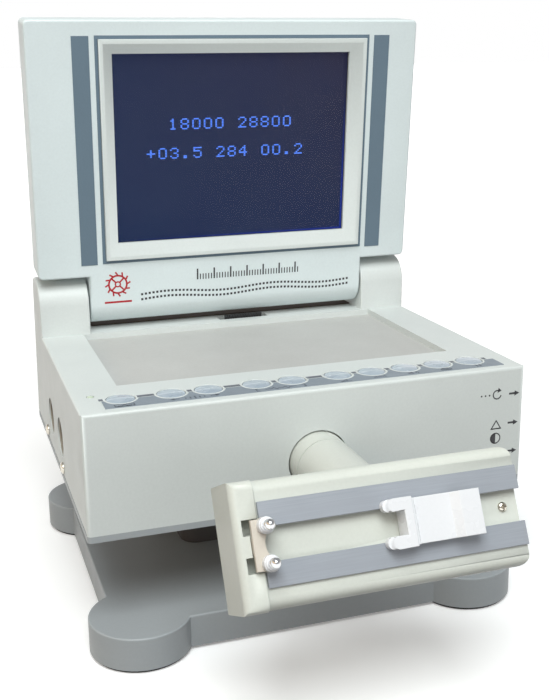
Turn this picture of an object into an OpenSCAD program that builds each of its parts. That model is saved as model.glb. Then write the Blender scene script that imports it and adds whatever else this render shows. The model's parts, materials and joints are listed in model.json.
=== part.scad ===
// Bench timegrapher: a base, a housing with a folding display, and a sensor head on a swivelling arm.
// Origin: on the desk, at the middle of the base. +X is the operator's right, +Y the back, +Z up.

/* [Base] */
// Half width between the straight side walls
base_half_w = 89.9; // [86:0.1:94]
// Half depth between the front and rear walls
base_half_d = 80.3; // [76:0.1:84]
// Height of the base above the desk
base_h = 16.3; // [15:0.1:20]
// Radius of each round corner lobe
lobe_r = 22.4; // [20:0.1:24]
// Distance of the lobes from the centre, sideways
lobe_x = 78; // [76:0.1:80]
// Distance of the lobes from the centre, front to back
lobe_y = 69.8; // [68:0.1:71]
// Thickness of the rubber pads
pad_h = 1.5; // [1:0.1:3]

/* [Housing] */
// Half width of the housing
body_half_w = 100; // [98:0.5:104]
// Place of the front face
body_front_y = -81.3; // [-83:0.1:-80]
// Height of the underside of the chassis
chassis_z = 57.3; // [55:0.1:60]
// Thickness of the chassis plate
chassis_t = 2.8; // [2:0.1:4]
// Height of the top face
top_z = 112.3; // [111:0.1:113]
// Wall thickness of the moulded shell
wall = 3; // [2.5:0.1:3.2]
// Forward slope of the rear wall, run over rise
rear_slope = 0.225; // [0.2:0.005:0.24]
// Width of each hinge tower
tower_w = 25; // [24:0.5:26]

/* [Controls] */
// Radius of the round buttons
button_r = 6; // [5:0.1:6.4]
// Distance between buttons in one group
button_pitch = 16.2; // [15.8:0.1:16.4]
// Extra space between two groups
group_gap = 5.1; // [4:0.1:5.5]
// Place of the row of buttons
button_y = -65.1; // [-66:0.1:-64]

/* [Display lid] */
// Forward lean of the lid where it stands open
lid_lean = 5.13; // [0:0.01:10]
// Half width of the lid
lid_half_w = 99.6; // [98:0.1:100]
// Height of the lid above its lower edge
lid_h = 124.5; // [120:0.5:126]
// Distance from the hinge axis to the lid's front face
lid_front_d = 11.57; // [11:0.01:11.8]
// Distance from the hinge axis to the lid's back face
lid_back_d = 9.93; // [9:0.01:11]
// Width of the viewing area
lcd_w = 122; // [120:0.5:123]
// Height of the viewing area
lcd_h = 92.4; // [91:0.1:93]

/* [Sensor head] */
// Tilt of the head where it rests, from facing the operator
head_lean = 26.5; // [20:0.5:30]
// Half height of the head
head_half_h = 22.6; // [22:0.1:24]
// Depth of the head
head_d = 27; // [26:0.1:28]
// Half length of the rails
rail_half_l = 51; // [50:0.1:52]
// Opening between the pins and the fork
clamp_open = 42; // [40:0.5:43]

/* [Hidden] */
$fn = 64;
eps = 0.1;

cream = [0.84, 0.86, 0.84];
grey = [0.55, 0.57, 0.6];
dark = [0.16, 0.17, 0.18];
steel = [0.78, 0.78, 0.8];
white = [0.94, 0.94, 0.95];
board_green = [0.12, 0.38, 0.22];

shell_z = chassis_z + chassis_t;
inner_half_w = body_half_w - wall;
rear_bottom_y = 93.1;
rear_angle = atan(rear_slope);
edge_r = 1.2;
plan_r = 2;

hinge_y = 60.2;
hinge_z = 127.5;
knuckle_r = 12.2;
tower_back_r = 8;
tower_in_x = body_half_w - tower_w;
barrel_half_l = 74.2;
hinge_pin_r = 4;
running = 0.05;

recess_x = 79;
recess_y0 = -46;
recess_y1 = 47.2;
panel_t = 2.5;

arm_x = 0.4;
arm_z = 80.2;
arm_r = 13;
journal_r = 9.5;
collar_out = 8.7;
tube_end_y = -123.6;

face_d = 11.4;
head_y = -150.6;
eye_r = 5.2;
neck_half_w = 6.2;
tilt_pin_r = 2.5;
rail_in = 6;
rail_out = 14.9;
rail_t = 1.2;
floor_d = 3.6;
floor_t = 2;
groove_w = 8.5;
head_end_x = 50.7;
block_x0 = -60.4;
block_x1 = -51.6;
post_x = -50;
post_w = 6.5;
sleeve_r = 3;
pin_r = 1.9;
jaw_tip_x = post_x + sleeve_r + clamp_open;

lid_bottom = 15.2;
lid_split = -0.8;
lid_wall = 2.5;
lcd_x = 2.1;
lcd_z = 77.9;
bezel_l = -65.5;
bezel_r = 71.5;
bezel_b = 23.5;
bezel_t = 130.9;
bezel_up = 1.9;
bezel_fit = 0.1;
bezel_rim = 2;
frame_w = 1.7;
print_t = 0.2;

wheel_r = 8;
wheel_x = 93.6;
control_y = -66;
contrast_z = 86;
volume_z = 72;
reset_z = 100;
socket_r = 9;
socket_bore_r = 7.5;
socket_depth = 9;
contact_r = 0.9;
rocker_x = 60;
rocker_z = 84;
rocker_rest = 8;
led_x = -92.2;
led_y = -57.8;
power_y = 26.4;
power_z = 77.6;
printer_y = -7.2;
printer_z = 78.2;
channel_screw_x = 44.4;
cable_x0 = -2;
cable_x1 = 19;

// Helpers

function rear_y(z) = rear_bottom_y - (z - chassis_z) * rear_slope;
function arc(cx, cy, r, a0, a1, n = 8) =
    [for (i = [0:n]) [cx + r * cos(a0 + (a1 - a0) * i / n), cy + r * sin(a0 + (a1 - a0) * i / n)]];
function group_breaks(i) = (i > 1 ? 1 : 0) + (i > 3 ? 1 : 0) + (i > 5 ? 1 : 0);
function button_x(i) = -80.8 + (i - 1) * button_pitch + group_breaks(i) * group_gap;

// Extrudes a (Y, Z) outline along X
module x_extrude(x0, x1) {
    translate([x0, 0, 0]) rotate([90, 0, 90]) linear_extrude(x1 - x0) children();
}
module x_cyl(r, x0, x1) {
    translate([x0, 0, 0]) rotate([0, 90, 0]) cylinder(r = r, h = x1 - x0);
}
module y_cyl(r, y0, y1) {
    translate([0, y0, 0]) rotate([-90, 0, 0]) cylinder(r = r, h = y1 - y0);
}
module box(x0, x1, y0, y1, z0, z1) {
    translate([x0, y0, z0]) cube([x1 - x0, y1 - y0, z1 - z0]);
}
module both_sides() {
    children();
    mirror([1, 0, 0]) children();
}
// Frame of the lid: X along the hinge axis, Y through the lid to the back, Z up the lid
module lid_at() {
    translate([0, hinge_y, hinge_z]) rotate([lid_lean, 0, 0]) children();
}
// Frame of the sensor head: X along the rails, Y out of the face, Z across the rails
module head_at() {
    translate([arm_x, head_y, arm_z]) rotate([-head_lean, 0, 0])
        translate([0, -face_d, 0]) mirror([0, 1, 0]) children();
}
// Frame on the rear wall: Y points out of the wall
module rear_at(x, z) {
    translate([x, rear_y(z), z]) rotate([rear_angle, 0, 0]) children();
}
module rounded_plan(half_w, y0, y1, r) {
    translate([-half_w + r, y0]) square([2 * (half_w - r), y1 - y0]);
    translate([-half_w, y0 + r]) square([2 * half_w, y1 - y0 - 2 * r]);
    for (x = [-half_w + r, half_w - r], y = [y0 + r, y1 - r]) translate([x, y]) circle(r);
}
// A pan head screw along +Z, with its head above z = 0
module pan_screw(head_r, head_h, shaft_r, shaft_l) {
    difference() {
        intersection() {
            cylinder(r = head_r, h = head_h);
            translate([0, 0, head_h - 2 * head_r]) sphere(2 * head_r);
        }
        translate([-head_r * 0.6, -head_r * 0.12, head_h * 0.5]) cube([head_r * 1.2, head_r * 0.24, head_h]);
        translate([-head_r * 0.12, -head_r * 0.6, head_h * 0.5]) cube([head_r * 0.24, head_r * 1.2, head_h]);
    }
    translate([0, 0, -shaft_l]) cylinder(r = shaft_r, h = shaft_l + eps);
}

// Base and pedestal

pedestal_half_w = 44;
pedestal_y0 = -12;
pedestal_y1 = 68;
pedestal_wall = 3;
boss_r = 5;
screw_r = 1.5;
boss_places = [for (x = [-35, 35], y = [-3, 59]) [x, y]];
centre_boss_r = 10;
base_skin = 3.5;
weight_t = 4;

module lobes(r) {
    for (x = [-lobe_x, lobe_x], y = [-lobe_y, lobe_y]) translate([x, y]) circle(r);
}
module base_plate() {
    pocket_top = base_h - base_skin;
    color(grey) difference() {
        translate([0, 0, pad_h]) linear_extrude(base_h - pad_h) {
            square([2 * base_half_w, 2 * base_half_d], center = true);
            lobes(lobe_r);
        }
        translate([0, 0, pad_h - eps]) linear_extrude(pocket_top - pad_h + eps) difference() {
            square([2 * (base_half_w - 4), 2 * (base_half_d - 4)], center = true);
            lobes(lobe_r);
            circle(centre_boss_r);
        }
        for (p = boss_places) translate([p[0], p[1], 0]) cylinder(r = screw_r + 0.2, h = base_h + 1);
    }
}
module rubber_pads() {
    color(dark) {
        for (x = [-lobe_x, lobe_x], y = [-lobe_y, lobe_y]) translate([x, y, 0])
            cylinder(r = lobe_r - 0.8, h = pad_h);
        cylinder(r = centre_boss_r - 1, h = pad_h);
    }
}
module base_weight() {
    top = base_h - base_skin;
    color(steel) box(-50, 50, -62, -16, top - weight_t, top);
}
module pedestal() {
    color(grey) difference() {
        union() {
            difference() {
                translate([0, 0, base_h]) linear_extrude(chassis_z - base_h)
                    rounded_plan(pedestal_half_w, pedestal_y0, pedestal_y1, boss_r + pedestal_wall);
                translate([0, 0, base_h - eps]) linear_extrude(chassis_z - base_h - pedestal_wall)
                    rounded_plan(pedestal_half_w - pedestal_wall, pedestal_y0 + pedestal_wall,
                        pedestal_y1 - pedestal_wall, boss_r);
            }
            for (p = boss_places) translate([p[0], p[1], base_h])
                cylinder(r = boss_r, h = chassis_z - base_h);
        }
        for (p = boss_places) translate([p[0], p[1], base_h - eps])
            cylinder(r = screw_r, h = chassis_z - base_h + 1);
    }
}
module pedestal_screws() {
    color(steel) for (p = boss_places) translate([p[0], p[1], base_h - base_skin]) mirror([0, 0, 1])
        pan_screw(3, 2, screw_r, base_skin + 12);
}

// Housing

module side_outline(inset = 0) {
    top = top_z - inset;
    r = max(edge_r - inset, 0.4);
    low = inset > 0 ? shell_z - 1 : shell_z;
    front = body_front_y + inset;
    back = inset / cos(rear_angle);
    polygon(concat([[rear_y(low) - back, low], [front, low]],
        arc(front + r, top - r, r, 180, 90, 4), [[rear_y(top) - back, top]]));
}
module tower_outline(inset = 0) {
    back_r = tower_back_r - inset;
    top = hinge_z + knuckle_r - inset;
    low = top_z - 2 * wall;
    back = inset / cos(rear_angle);
    corner_z = top - back_r;
    corner_y = rear_y(corner_z) - back - back_r / cos(rear_angle);
    polygon(concat([[hinge_y - knuckle_r + inset, low]],
        arc(hinge_y, hinge_z, knuckle_r - inset, 180, 90, 12),
        arc(corner_y, corner_z, back_r, 90, rear_angle), [[rear_y(low) - back, low]]));
}
screw_places = [for (y = [-11.3, 45.3]) [y, 64.4]];

module bottom_chassis() {
    standoffs = [for (x = [-70, 70], y = [-48, 48]) [x, y]];
    color(grey) difference() {
        union() {
            translate([0, 0, chassis_z]) linear_extrude(chassis_t)
                rounded_plan(body_half_w, body_front_y, rear_bottom_y, plan_r);
            for (p = standoffs) translate([p[0], p[1], shell_z - eps]) cylinder(r = 3, h = 8 + eps);
            both_sides() for (p = screw_places)
                box(inner_half_w - 4.1, inner_half_w - 0.1, p[0] - 5, p[0] + 5, shell_z - eps, shell_z + 8);
        }
        for (p = boss_places) translate([p[0], p[1], chassis_z - 1]) cylinder(r = screw_r + 0.2, h = 6);
        both_sides() for (p = screw_places) translate([0, p[0], p[1]])
            x_cyl(screw_r, inner_half_w - 5, inner_half_w + 1);
    }
}
module chassis_screws() {
    color(steel) for (p = boss_places) translate([p[0], p[1], shell_z])
        pan_screw(3, 2, screw_r, chassis_t + 10);
}
module shell_solid() {
    intersection() {
        union() {
            x_extrude(-body_half_w, body_half_w) side_outline();
            both_sides() x_extrude(tower_in_x, body_half_w) tower_outline();
        }
        linear_extrude(200) rounded_plan(body_half_w, body_front_y, rear_bottom_y + 2, plan_r);
    }
}
module upper_shell() {
    vent_z = 100;
    color(cream) difference() {
        union() {
            difference() {
                shell_solid();
                x_extrude(-inner_half_w, inner_half_w) side_outline(wall);
                both_sides() x_extrude(tower_in_x + wall, inner_half_w) tower_outline(wall);
            }
            both_sides() translate([0, hinge_y, hinge_z]) x_cyl(7.5, tower_in_x + eps, tower_in_x + 13);
            for (x = [-89, 89]) translate([x, button_y - 8, 103.1]) cylinder(r = 2.2, h = top_z - 103.1 - 1);
        }
        box(-recess_x, recess_x, recess_y0, recess_y1, top_z - 2 * wall, top_z + 1);
        for (i = [1:10]) translate([button_x(i), button_y, top_z - 2 * wall])
            cylinder(r = button_r + 0.2, h = 3 * wall);
        translate([led_x, led_y, top_z - 2 * wall]) cylinder(r = 1.75, h = 3 * wall);
        translate([arm_x, 0, arm_z]) y_cyl(arm_r + 0.7, body_front_y - 1, body_front_y + 2 * wall);
        both_sides() translate([0, hinge_y, hinge_z]) x_cyl(hinge_pin_r, tower_in_x - 1, tower_in_x + 14);
        translate([0, power_y, power_z]) x_cyl(socket_r + 0.2, -body_half_w - 1, -inner_half_w + 1);
        translate([0, printer_y, printer_z]) x_cyl(socket_r + 0.2, -body_half_w - 1, -inner_half_w + 1);
        both_sides() for (p = screw_places) translate([0, p[0], p[1]])
            x_cyl(screw_r + 0.2, inner_half_w - 1, body_half_w + 1);
        for (z = [contrast_z, volume_z]) box(inner_half_w - 1, body_half_w + 1,
            control_y - 8, control_y + 8, z - 2.2, z + 2.2);
        translate([0, control_y, reset_z]) x_cyl(2.7, inner_half_w - 1, body_half_w + 1);
        rear_at(rocker_x, rocker_z) box(-10.3, 10.3, -3 * wall, 2, -7, 7);
        box(cable_x0 - 3, cable_x1 + 3, 53, 60, top_z - 2 * wall, top_z + 1);
        for (x = [-60:8:-20]) rear_at(x, vent_z) box(-1.5, 1.5, -2 * wall, 2, -7, 7);
    }
}
module recess_panel() {
    color([0.73, 0.74, 0.72]) box(-recess_x - 3, recess_x + 3, recess_y0 - 3, recess_y1 + 3,
        top_z - wall - panel_t, top_z - wall);
}
module control_label() {
    color([0.54, 0.57, 0.61]) translate([0, 0, top_z]) linear_extrude(0.25) difference() {
        translate([-89, -76.3]) square([181, 10]);
        for (i = [1:10]) translate([button_x(i), button_y]) circle(button_r + 1.3);
    }
}
module control_button(i) {
    dome_r = 45;
    flange_t = 1.2;
    flange_top = top_z - wall - 0.1;
    color([0.76, 0.8, 0.83]) translate([button_x(i), button_y, 0]) {
        intersection() {
            translate([0, 0, flange_top - eps]) cylinder(r = button_r, h = top_z + 0.5 - flange_top + eps);
            translate([0, 0, top_z + 0.5 - dome_r]) sphere(dome_r, $fn = 128);
        }
        translate([0, 0, flange_top - flange_t]) cylinder(r = button_r + 1.2, h = flange_t);
        translate([0, 0, 104.5]) cylinder(r = 2, h = flange_top - flange_t - 104.5 + eps);
    }
}
module button_board() {
    color(board_green) difference() {
        union() {
            box(-93, 93, -77, -55, 101.5, 103.1);
            for (i = [1:10]) translate([button_x(i), button_y, 103]) cylinder(r = 3, h = 0.5);
        }
        translate([led_x, led_y, 100]) cylinder(r = 1, h = 5);
    }
}
module indicator_led() {
    color([0.6, 0.78, 0.55]) translate([led_x, led_y, 0]) {
        translate([0, 0, 103.1]) cylinder(r = 1.6, h = 8);
        translate([0, 0, 111.1]) intersection() {
            sphere(1.6);
            cylinder(r = 1.6, h = 3);
        }
    }
}
module main_board() {
    color(board_green) {
        box(-75, 75, -55, 55, shell_z + 8, shell_z + 9.6);
        box(-20, 10, 5, 35, shell_z + 9.5, shell_z + 12);
        for (x = [-60:16:-28]) box(x, x + 8, -40, -20, shell_z + 9.5, shell_z + 13);
        for (x = [30, 46, 62]) translate([x, 20, shell_z + 9.5]) cylinder(r = 5, h = 14);
    }
}
module speaker() {
    color(dark) translate([40, -40, 0]) {
        translate([0, 0, shell_z]) cylinder(r = 9, h = 5);
        translate([0, 0, shell_z + 4.9]) cylinder(r = 14, h = 2.5);
    }
}
module side_screws() {
    color(steel) both_sides() for (p = screw_places) translate([body_half_w, p[0], p[1]])
        rotate([0, 90, 0]) pan_screw(2.8, 1.6, screw_r, 7);
}

// Sockets and side controls

module round_socket(y, z, contacts) {
    floor_x = -body_half_w + 0.6 + socket_depth;
    color(dark) translate([0, y, z]) difference() {
        x_cyl(socket_r, -body_half_w + 0.6, -84);
        x_cyl(socket_bore_r, -body_half_w, floor_x);
        for (p = contacts) translate([0, p[0], p[1]]) x_cyl(contact_r, floor_x - 1, floor_x + 3);
    }
}
module power_socket() {
    round_socket(power_y, power_z, [[0, 0]]);
}
module printer_socket() {
    round_socket(printer_y, printer_z, [for (a = [0:45:180]) [4 * cos(a), 4 * sin(a) - 1]]);
}
module reset_button() {
    color(dark) translate([0, control_y, reset_z]) {
        x_cyl(2.5, inner_half_w - eps, body_half_w + 0.6);
        x_cyl(3.6, inner_half_w - 1.6, inner_half_w - 0.3);
        x_cyl(2.5, inner_half_w - 0.4, inner_half_w);
    }
}
module thumb_wheel(z) {
    teeth = 36;
    color(dark) translate([wheel_x, control_y, z - 1.4]) difference() {
        cylinder(r = wheel_r, h = 2.8);
        translate([0, 0, -1]) cylinder(r = 1.5 + running, h = 5);
        for (i = [0:teeth - 1]) rotate(i * 360 / teeth) translate([wheel_r + 0.1, 0, -1])
            cylinder(r = 0.45, h = 5, $fn = 4);
    }
}
module wheel_axles() {
    color(steel) {
        for (z = [contrast_z, volume_z]) translate([wheel_x, control_y, z - 5.2]) cylinder(r = 1.5, h = 7.5);
        for (z = [contrast_z, volume_z])
            box(wheel_x - 8, wheel_x + 3, control_y - 6, control_y + 6, z - 6, z - 2);
        box(wheel_x - 8, wheel_x - 6, control_y + 6 - eps, control_y + 9, volume_z - 6, contrast_z - 2);
        for (z = [contrast_z, volume_z])
            box(wheel_x - 8, wheel_x - 6, control_y, control_y + 7, z - 6, z - 2);
    }
}
module switch_frame() {
    color(dark) rear_at(rocker_x, rocker_z) difference() {
        union() {
            box(-10, 10, -16, 0.1, -6.7, 6.7);
            box(-11.5, 11.5, 0, 1.2, -8.2, 8.2);
        }
        box(-8.6, 8.6, -6, 3, -5.6, 5.6);
        translate([0, -1, 0]) x_cyl(1.05, -9.5, 9.5);
    }
}
module power_rocker() {
    color([0.1, 0.1, 0.11]) rear_at(rocker_x, rocker_z) translate([0, -1, 0]) rotate([rocker_rest, 0, 0]) {
        x_extrude(-8.2, 8.2) polygon(concat([[-2.5, -3], [-2.5, 3], [1, 4.8]],
            [[3.4, 4.6], [2.2, 0], [3.4, -4.6]], [[1, -4.8]]));
        x_cyl(1, -9.4, 9.4);
    }
}
module hinge_pins() {
    color(steel) both_sides() translate([0, hinge_y, hinge_z])
        x_cyl(hinge_pin_r, barrel_half_l - 8, tower_in_x + 13);
}

// Swivelling arm

module arm_collar() {
    color(cream) translate([arm_x, 0, arm_z]) difference() {
        union() {
            y_cyl(arm_r, body_front_y - collar_out, body_front_y + wall + eps);
            y_cyl(arm_r + 4, body_front_y + wall, body_front_y + wall + 3);
            y_cyl(arm_r, body_front_y + wall + 2.9, body_front_y + 12);
        }
        y_cyl(journal_r + running, body_front_y - collar_out - 1, body_front_y + 13);
    }
}
module arm_tube() {
    front = body_front_y - collar_out - 0.3;
    color([0.76, 0.77, 0.74]) translate([arm_x, 0, arm_z]) difference() {
        union() {
            y_cyl(arm_r, tube_end_y, front);
            y_cyl(journal_r, front - eps, body_front_y + 17);
            box(-neck_half_w, neck_half_w, head_y, tube_end_y + eps, -eye_r, eye_r);
            translate([0, head_y, 0]) x_cyl(eye_r, -neck_half_w, neck_half_w);
        }
        y_cyl(7, tube_end_y + 4, body_front_y + 18);
        translate([0, head_y, 0]) x_cyl(tilt_pin_r + running, -neck_half_w - 1, neck_half_w + 1);
    }
}
module arm_retainer() {
    color(steel) translate([arm_x, 0, arm_z]) difference() {
        y_cyl(journal_r + 3.5, body_front_y + 12.3, body_front_y + 14.3);
        y_cyl(journal_r, body_front_y + 12, body_front_y + 15);
    }
}

// Sensor head

module head_section(half_h, front, back, front_r, back_r) {
    polygon(concat(arc(front - front_r, half_h - front_r, front_r, 0, 90),
        arc(back + back_r, half_h - back_r, back_r, 90, 180),
        arc(back + back_r, -half_h + back_r, back_r, 180, 270),
        arc(front - front_r, -half_h + front_r, front_r, 270, 360)));
}
// Front view outline of the head, with rounded corners at its right end
module head_front_outline(x0, x1, half_h, r) {
    translate([x0, -half_h]) square([x1 - r - x0, 2 * half_h]);
    translate([x0, -half_h + r]) square([x1 - x0, 2 * (half_h - r)]);
    for (w = [-half_h + r, half_h - r]) translate([x1 - r, w]) circle(r);
}
ear_in = 7.5;
ear_t = 4;
head_wall = 2.6;
inner_back = -head_d + head_wall;

module head_body() {
    color(cream) head_at() difference() {
        union() {
            difference() {
                intersection() {
                    x_extrude(block_x1, head_end_x)
                        head_section(head_half_h, -rail_t, -head_d + head_wall, 4.5, 0.5);
                    translate([0, 1, 0]) rotate([90, 0, 0]) linear_extrude(head_d + 2)
                        head_front_outline(block_x1 - 1, head_end_x, head_half_h, 4);
                }
                box(block_x1 + head_wall, head_end_x - head_wall, inner_back - 1, -floor_d - floor_t,
                    -head_half_h + head_wall, head_half_h - head_wall);
            }
            for (s = [-1, 1]) box(s * (ear_in + ear_t / 2) - ear_t / 2, s * (ear_in + ear_t / 2) + ear_t / 2,
                -face_d - 8, -floor_d - floor_t + eps, -8, 8);
            translate([channel_screw_x, 0, 0]) rotate([90, 0, 0]) cylinder(r = 3, h = 12);
        }
        box(block_x1 - 1, head_end_x + 1, -floor_d, 1, -rail_in, rail_in);
        box(block_x1 - 1, head_end_x + 1, -floor_d, -rail_t + eps, -groove_w, groove_w);
        translate([0, -face_d, 0]) x_cyl(tilt_pin_r, -ear_in - ear_t - 1, ear_in + ear_t + 1);
        box(-ear_in, ear_in, -head_d, -floor_d - floor_t, -6.4, head_half_h + 1);
        translate([channel_screw_x, 0, 0]) rotate([90, 0, 0]) cylinder(r = 1.2, h = 9);
    }
}
module head_back() {
    color(cream) head_at() difference() {
        x_extrude(block_x1, head_end_x) polygon(concat(
            arc(-head_d + 2.4, head_half_h - 2.4, 2.4, 90, 180, 4),
            arc(-head_d + 2.4, -head_half_h + 2.4, 2.4, 180, 270, 4),
            [[inner_back, -head_half_h], [inner_back, head_half_h]]));
        box(-ear_in, ear_in, -head_d - 1, inner_back + 1, -6.4, head_half_h + 1);
    }
}
module end_block() {
    half_h = head_half_h + 0.3;
    color(cream) head_at() difference() {
        intersection() {
            x_extrude(block_x0, block_x1) head_section(half_h, 0.2, -head_d - 0.3, 3.5, 3);
            translate([0, 0, -half_h]) linear_extrude(2 * half_h) polygon(concat(
                [[block_x1, -head_d - 1]], arc(block_x0 + 2, -head_d + 1.7, 2, 270, 180, 4),
                arc(block_x0 + 3, -2.8, 3, 180, 90, 6), [[block_x1, 0.2]]));
        }
        box(-55.2, block_x1 + 1, -6.5, 1, -9.3, 9.3);
        for (w = [3.7, -9.3]) box(-57.6, -55.1, -6.5, 1, w, w + 5.6);
        box(-58.4, block_x1 + 1, -21, -7.5, -9, 9);
        box(-55.2, -53, -8, -6, -3, 3);
    }
}
module rail(w0) {
    color([0.64, 0.67, 0.71]) head_at()
        box(-rail_half_l, rail_half_l, -rail_t, 0, w0, w0 + rail_out - rail_in);
}
module channel_screw() {
    color(steel) head_at() translate([channel_screw_x, -floor_d, 0]) rotate([-90, 0, 0])
        pan_screw(1.9, 1.3, 1.2, 5.4);
}
module tilt_pin() {
    color(steel) head_at() translate([0, -face_d, 0]) x_cyl(tilt_pin_r, -ear_in - ear_t, ear_in + ear_t);
}
module friction_washers() {
    color(steel) head_at() translate([0, -face_d, 0]) for (x = [-ear_in, ear_in - 1]) difference() {
        x_cyl(5, x, x + 1);
        x_cyl(tilt_pin_r, x - 1, x + 2);
    }
}
module pin_bracket() {
    color([0.76, 0.72, 0.67]) head_at() difference() {
        union() {
            box(-54.9, -49.2, 0.3, 2.2, -8.9, 8.9);
            for (w = [-post_w, post_w]) translate([post_x, 2.2, w]) rotate([90, 0, 0])
                cylinder(r = 3, h = 1.9);
            box(-54.9, -53.3, -9, 0.4, -2.7, 2.7);
            box(-57.2, -53.4, -9, -7.7, -2.7, 2.7);
        }
        translate([-43.6, 3, 0]) rotate([90, 0, 0]) cylinder(r = 7, h = 4);
    }
}
module clamp_pins() {
    tip_r = 0.7;
    color(steel) head_at() for (w = [-post_w, post_w]) translate([post_x, 2.2, w]) rotate([-90, 0, 0]) {
        cylinder(r = pin_r, h = 7.5);
        translate([0, 0, 7.5]) cylinder(r1 = pin_r, r2 = pin_r - 0.5, h = 1);
        translate([0, 0, 8.5]) cylinder(r1 = pin_r - 0.5, r2 = tip_r, h = 0.6);
    }
}
module pin_sleeves() {
    color(white) head_at() for (w = [-post_w, post_w]) translate([post_x, 0, w]) difference() {
        union() {
            translate([0, 5.2, 0]) rotate([90, 0, 0]) cylinder(r = sleeve_r, h = 3);
            translate([0, 6.2, 0]) rotate([90, 0, 0]) cylinder(r = sleeve_r - 0.5, h = 1.1);
        }
        translate([0, 7, 0]) rotate([90, 0, 0]) cylinder(r = pin_r, h = 6);
    }
}
module piezo_sensor() {
    color([0.8, 0.68, 0.35]) head_at() translate([0, -14.5, 0]) {
        x_cyl(6, -58.2, -57.6);
        x_cyl(4.5, -57.7, -57.2);
        box(-57.3, -56.4, -1, 5.5, -1.5, 1.5);
    }
}
module sliding_jaw() {
    tip = jaw_tip_x;
    mid_top = 4;
    color(white) head_at() {
        difference() {
            union() {
                for (w = [-6.6, 6.6]) translate([tip + 2.4, 5.6, w]) rotate([90, 0, 0])
                    cylinder(r = 2.4, h = 5.3);
                box(tip + 2.4, tip + 9.6, 0.3, 5.6, -9, 9);
                for (w = [-6.6, 6.6]) translate([tip + 1, 3.2, w]) rotate([90, 0, 0])
                    cylinder(r = 2.2, h = 2.9);
            }
            box(tip - 4, tip + 6.2, -1, 7, -4.3, 4.3);
        }
        translate([0, 0, -8.3]) linear_extrude(16.6) polygon([
            [tip + 6.3, 0.3], [tip + 6.3, 4.9], [tip + 10.4, 4.9], [tip + 11, mid_top],
            [tip + 25, mid_top], [tip + 27.6, mid_top + 3], [tip + 35.8, mid_top + 3],
            [tip + 35.8, mid_top + 1.2], [tip + 28.4, mid_top + 1.2], [tip + 25.6, 0.3]]);
        box(tip + 6.3, tip + 22, -1.5, 0.4, -rail_in + 0.3, rail_in - 0.3);
        box(tip + 6.3, tip + 22, -3.3, -1.5 + eps, -groove_w + 0.3, groove_w - 0.3);
    }
}

// Display lid

module lid_outline(inset = 0) {
    r = 2.5;
    rounded_plan(lid_half_w - inset, lid_bottom + inset, lid_bottom + lid_h - inset, r);
}
module lid_slab(y0, y1, inset = 0) {
    translate([0, y1, 0]) rotate([90, 0, 0]) linear_extrude(y1 - y0) lid_outline(inset);
}
module lid_front() {
    color(cream) lid_at() difference() {
        union() {
            difference() {
                lid_slab(-lid_front_d, lid_split);
                lid_slab(-lid_front_d + lid_wall, lid_split + 1, lid_wall);
            }
            box(-barrel_half_l, barrel_half_l, -lid_front_d, lid_back_d, 0, lid_bottom - 0.1);
            x_cyl(lid_front_d, -barrel_half_l, barrel_half_l);
            box(-barrel_half_l, barrel_half_l, -lid_front_d, lid_split, lid_bottom - 0.2, lid_bottom + 1);
        }
        x_cyl(lid_front_d - lid_wall, -barrel_half_l + 9, barrel_half_l - 9);
        box(-barrel_half_l + 9, barrel_half_l - 9, -lid_front_d + lid_wall, lid_back_d - lid_wall, 0,
            lid_bottom - lid_wall);
        both_sides() x_cyl(hinge_pin_r + running, barrel_half_l - 10, barrel_half_l + 1);
        box(bezel_l - bezel_fit, bezel_r + bezel_fit, -lid_front_d - 1, lid_split + 1,
            bezel_b - bezel_fit, bezel_t + bezel_fit);
        box(cable_x0, cable_x1, -6, -4, lid_bottom - 5, lid_bottom + 5);
    }
}
module lid_back() {
    color(cream) lid_at() difference() {
        lid_slab(lid_split, lid_back_d);
        lid_slab(lid_split - 1, lid_back_d - lid_wall, lid_wall);
        for (x = [-85, 85], z = [30, 128]) translate([x, 0, z]) y_cyl(screw_r, 0, lid_back_d + 1);
    }
}
module lcd_gasket() {
    front = -lid_front_d + lid_wall;
    color(dark) lid_at() difference() {
        box(bezel_l - 4, bezel_r + 4, front, front + 1, bezel_b - 4, bezel_t + 4);
        box(lcd_x - lcd_w / 2, lcd_x + lcd_w / 2, front - 1, front + 2, lcd_z - lcd_h / 2, lcd_z + lcd_h / 2);
    }
}
module lcd_bezel() {
    front = -lid_front_d - bezel_up;
    back = -lid_front_d + lid_wall;
    color([0.86, 0.87, 0.86]) lid_at() difference() {
        box(bezel_l, bezel_r, front, back, bezel_b, bezel_t);
        hull() {
            box(bezel_l + bezel_rim, bezel_r - bezel_rim, front - eps, front,
                bezel_b + bezel_rim, bezel_t - bezel_rim);
            box(lcd_x - lcd_w / 2, lcd_x + lcd_w / 2, back - 1.6, back - 1.5,
                lcd_z - lcd_h / 2, lcd_z + lcd_h / 2);
        }
        box(lcd_x - lcd_w / 2, lcd_x + lcd_w / 2, front - 1, back + 1, lcd_z - lcd_h / 2, lcd_z + lcd_h / 2);
    }
}
module lcd_window() {
    front = -lid_front_d + lid_wall + 1;
    color([0.13, 0.18, 0.3, 0.6]) lid_at()
        box(lcd_x - 64, lcd_x + 64, front, front + 1, lcd_z - 49, lcd_z + 49);
}
module lcd_module() {
    front = -lid_front_d + lid_wall + 2;
    color([0.13, 0.18, 0.3]) lid_at() {
        box(lcd_x - 65, lcd_x + 65, front, front + 5.5, lcd_z - 50, lcd_z + 50);
        box(lcd_x - 55, lcd_x + 55, front + 5.4, front + 7, lcd_z - 40, lcd_z + 40);
    }
}
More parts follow.
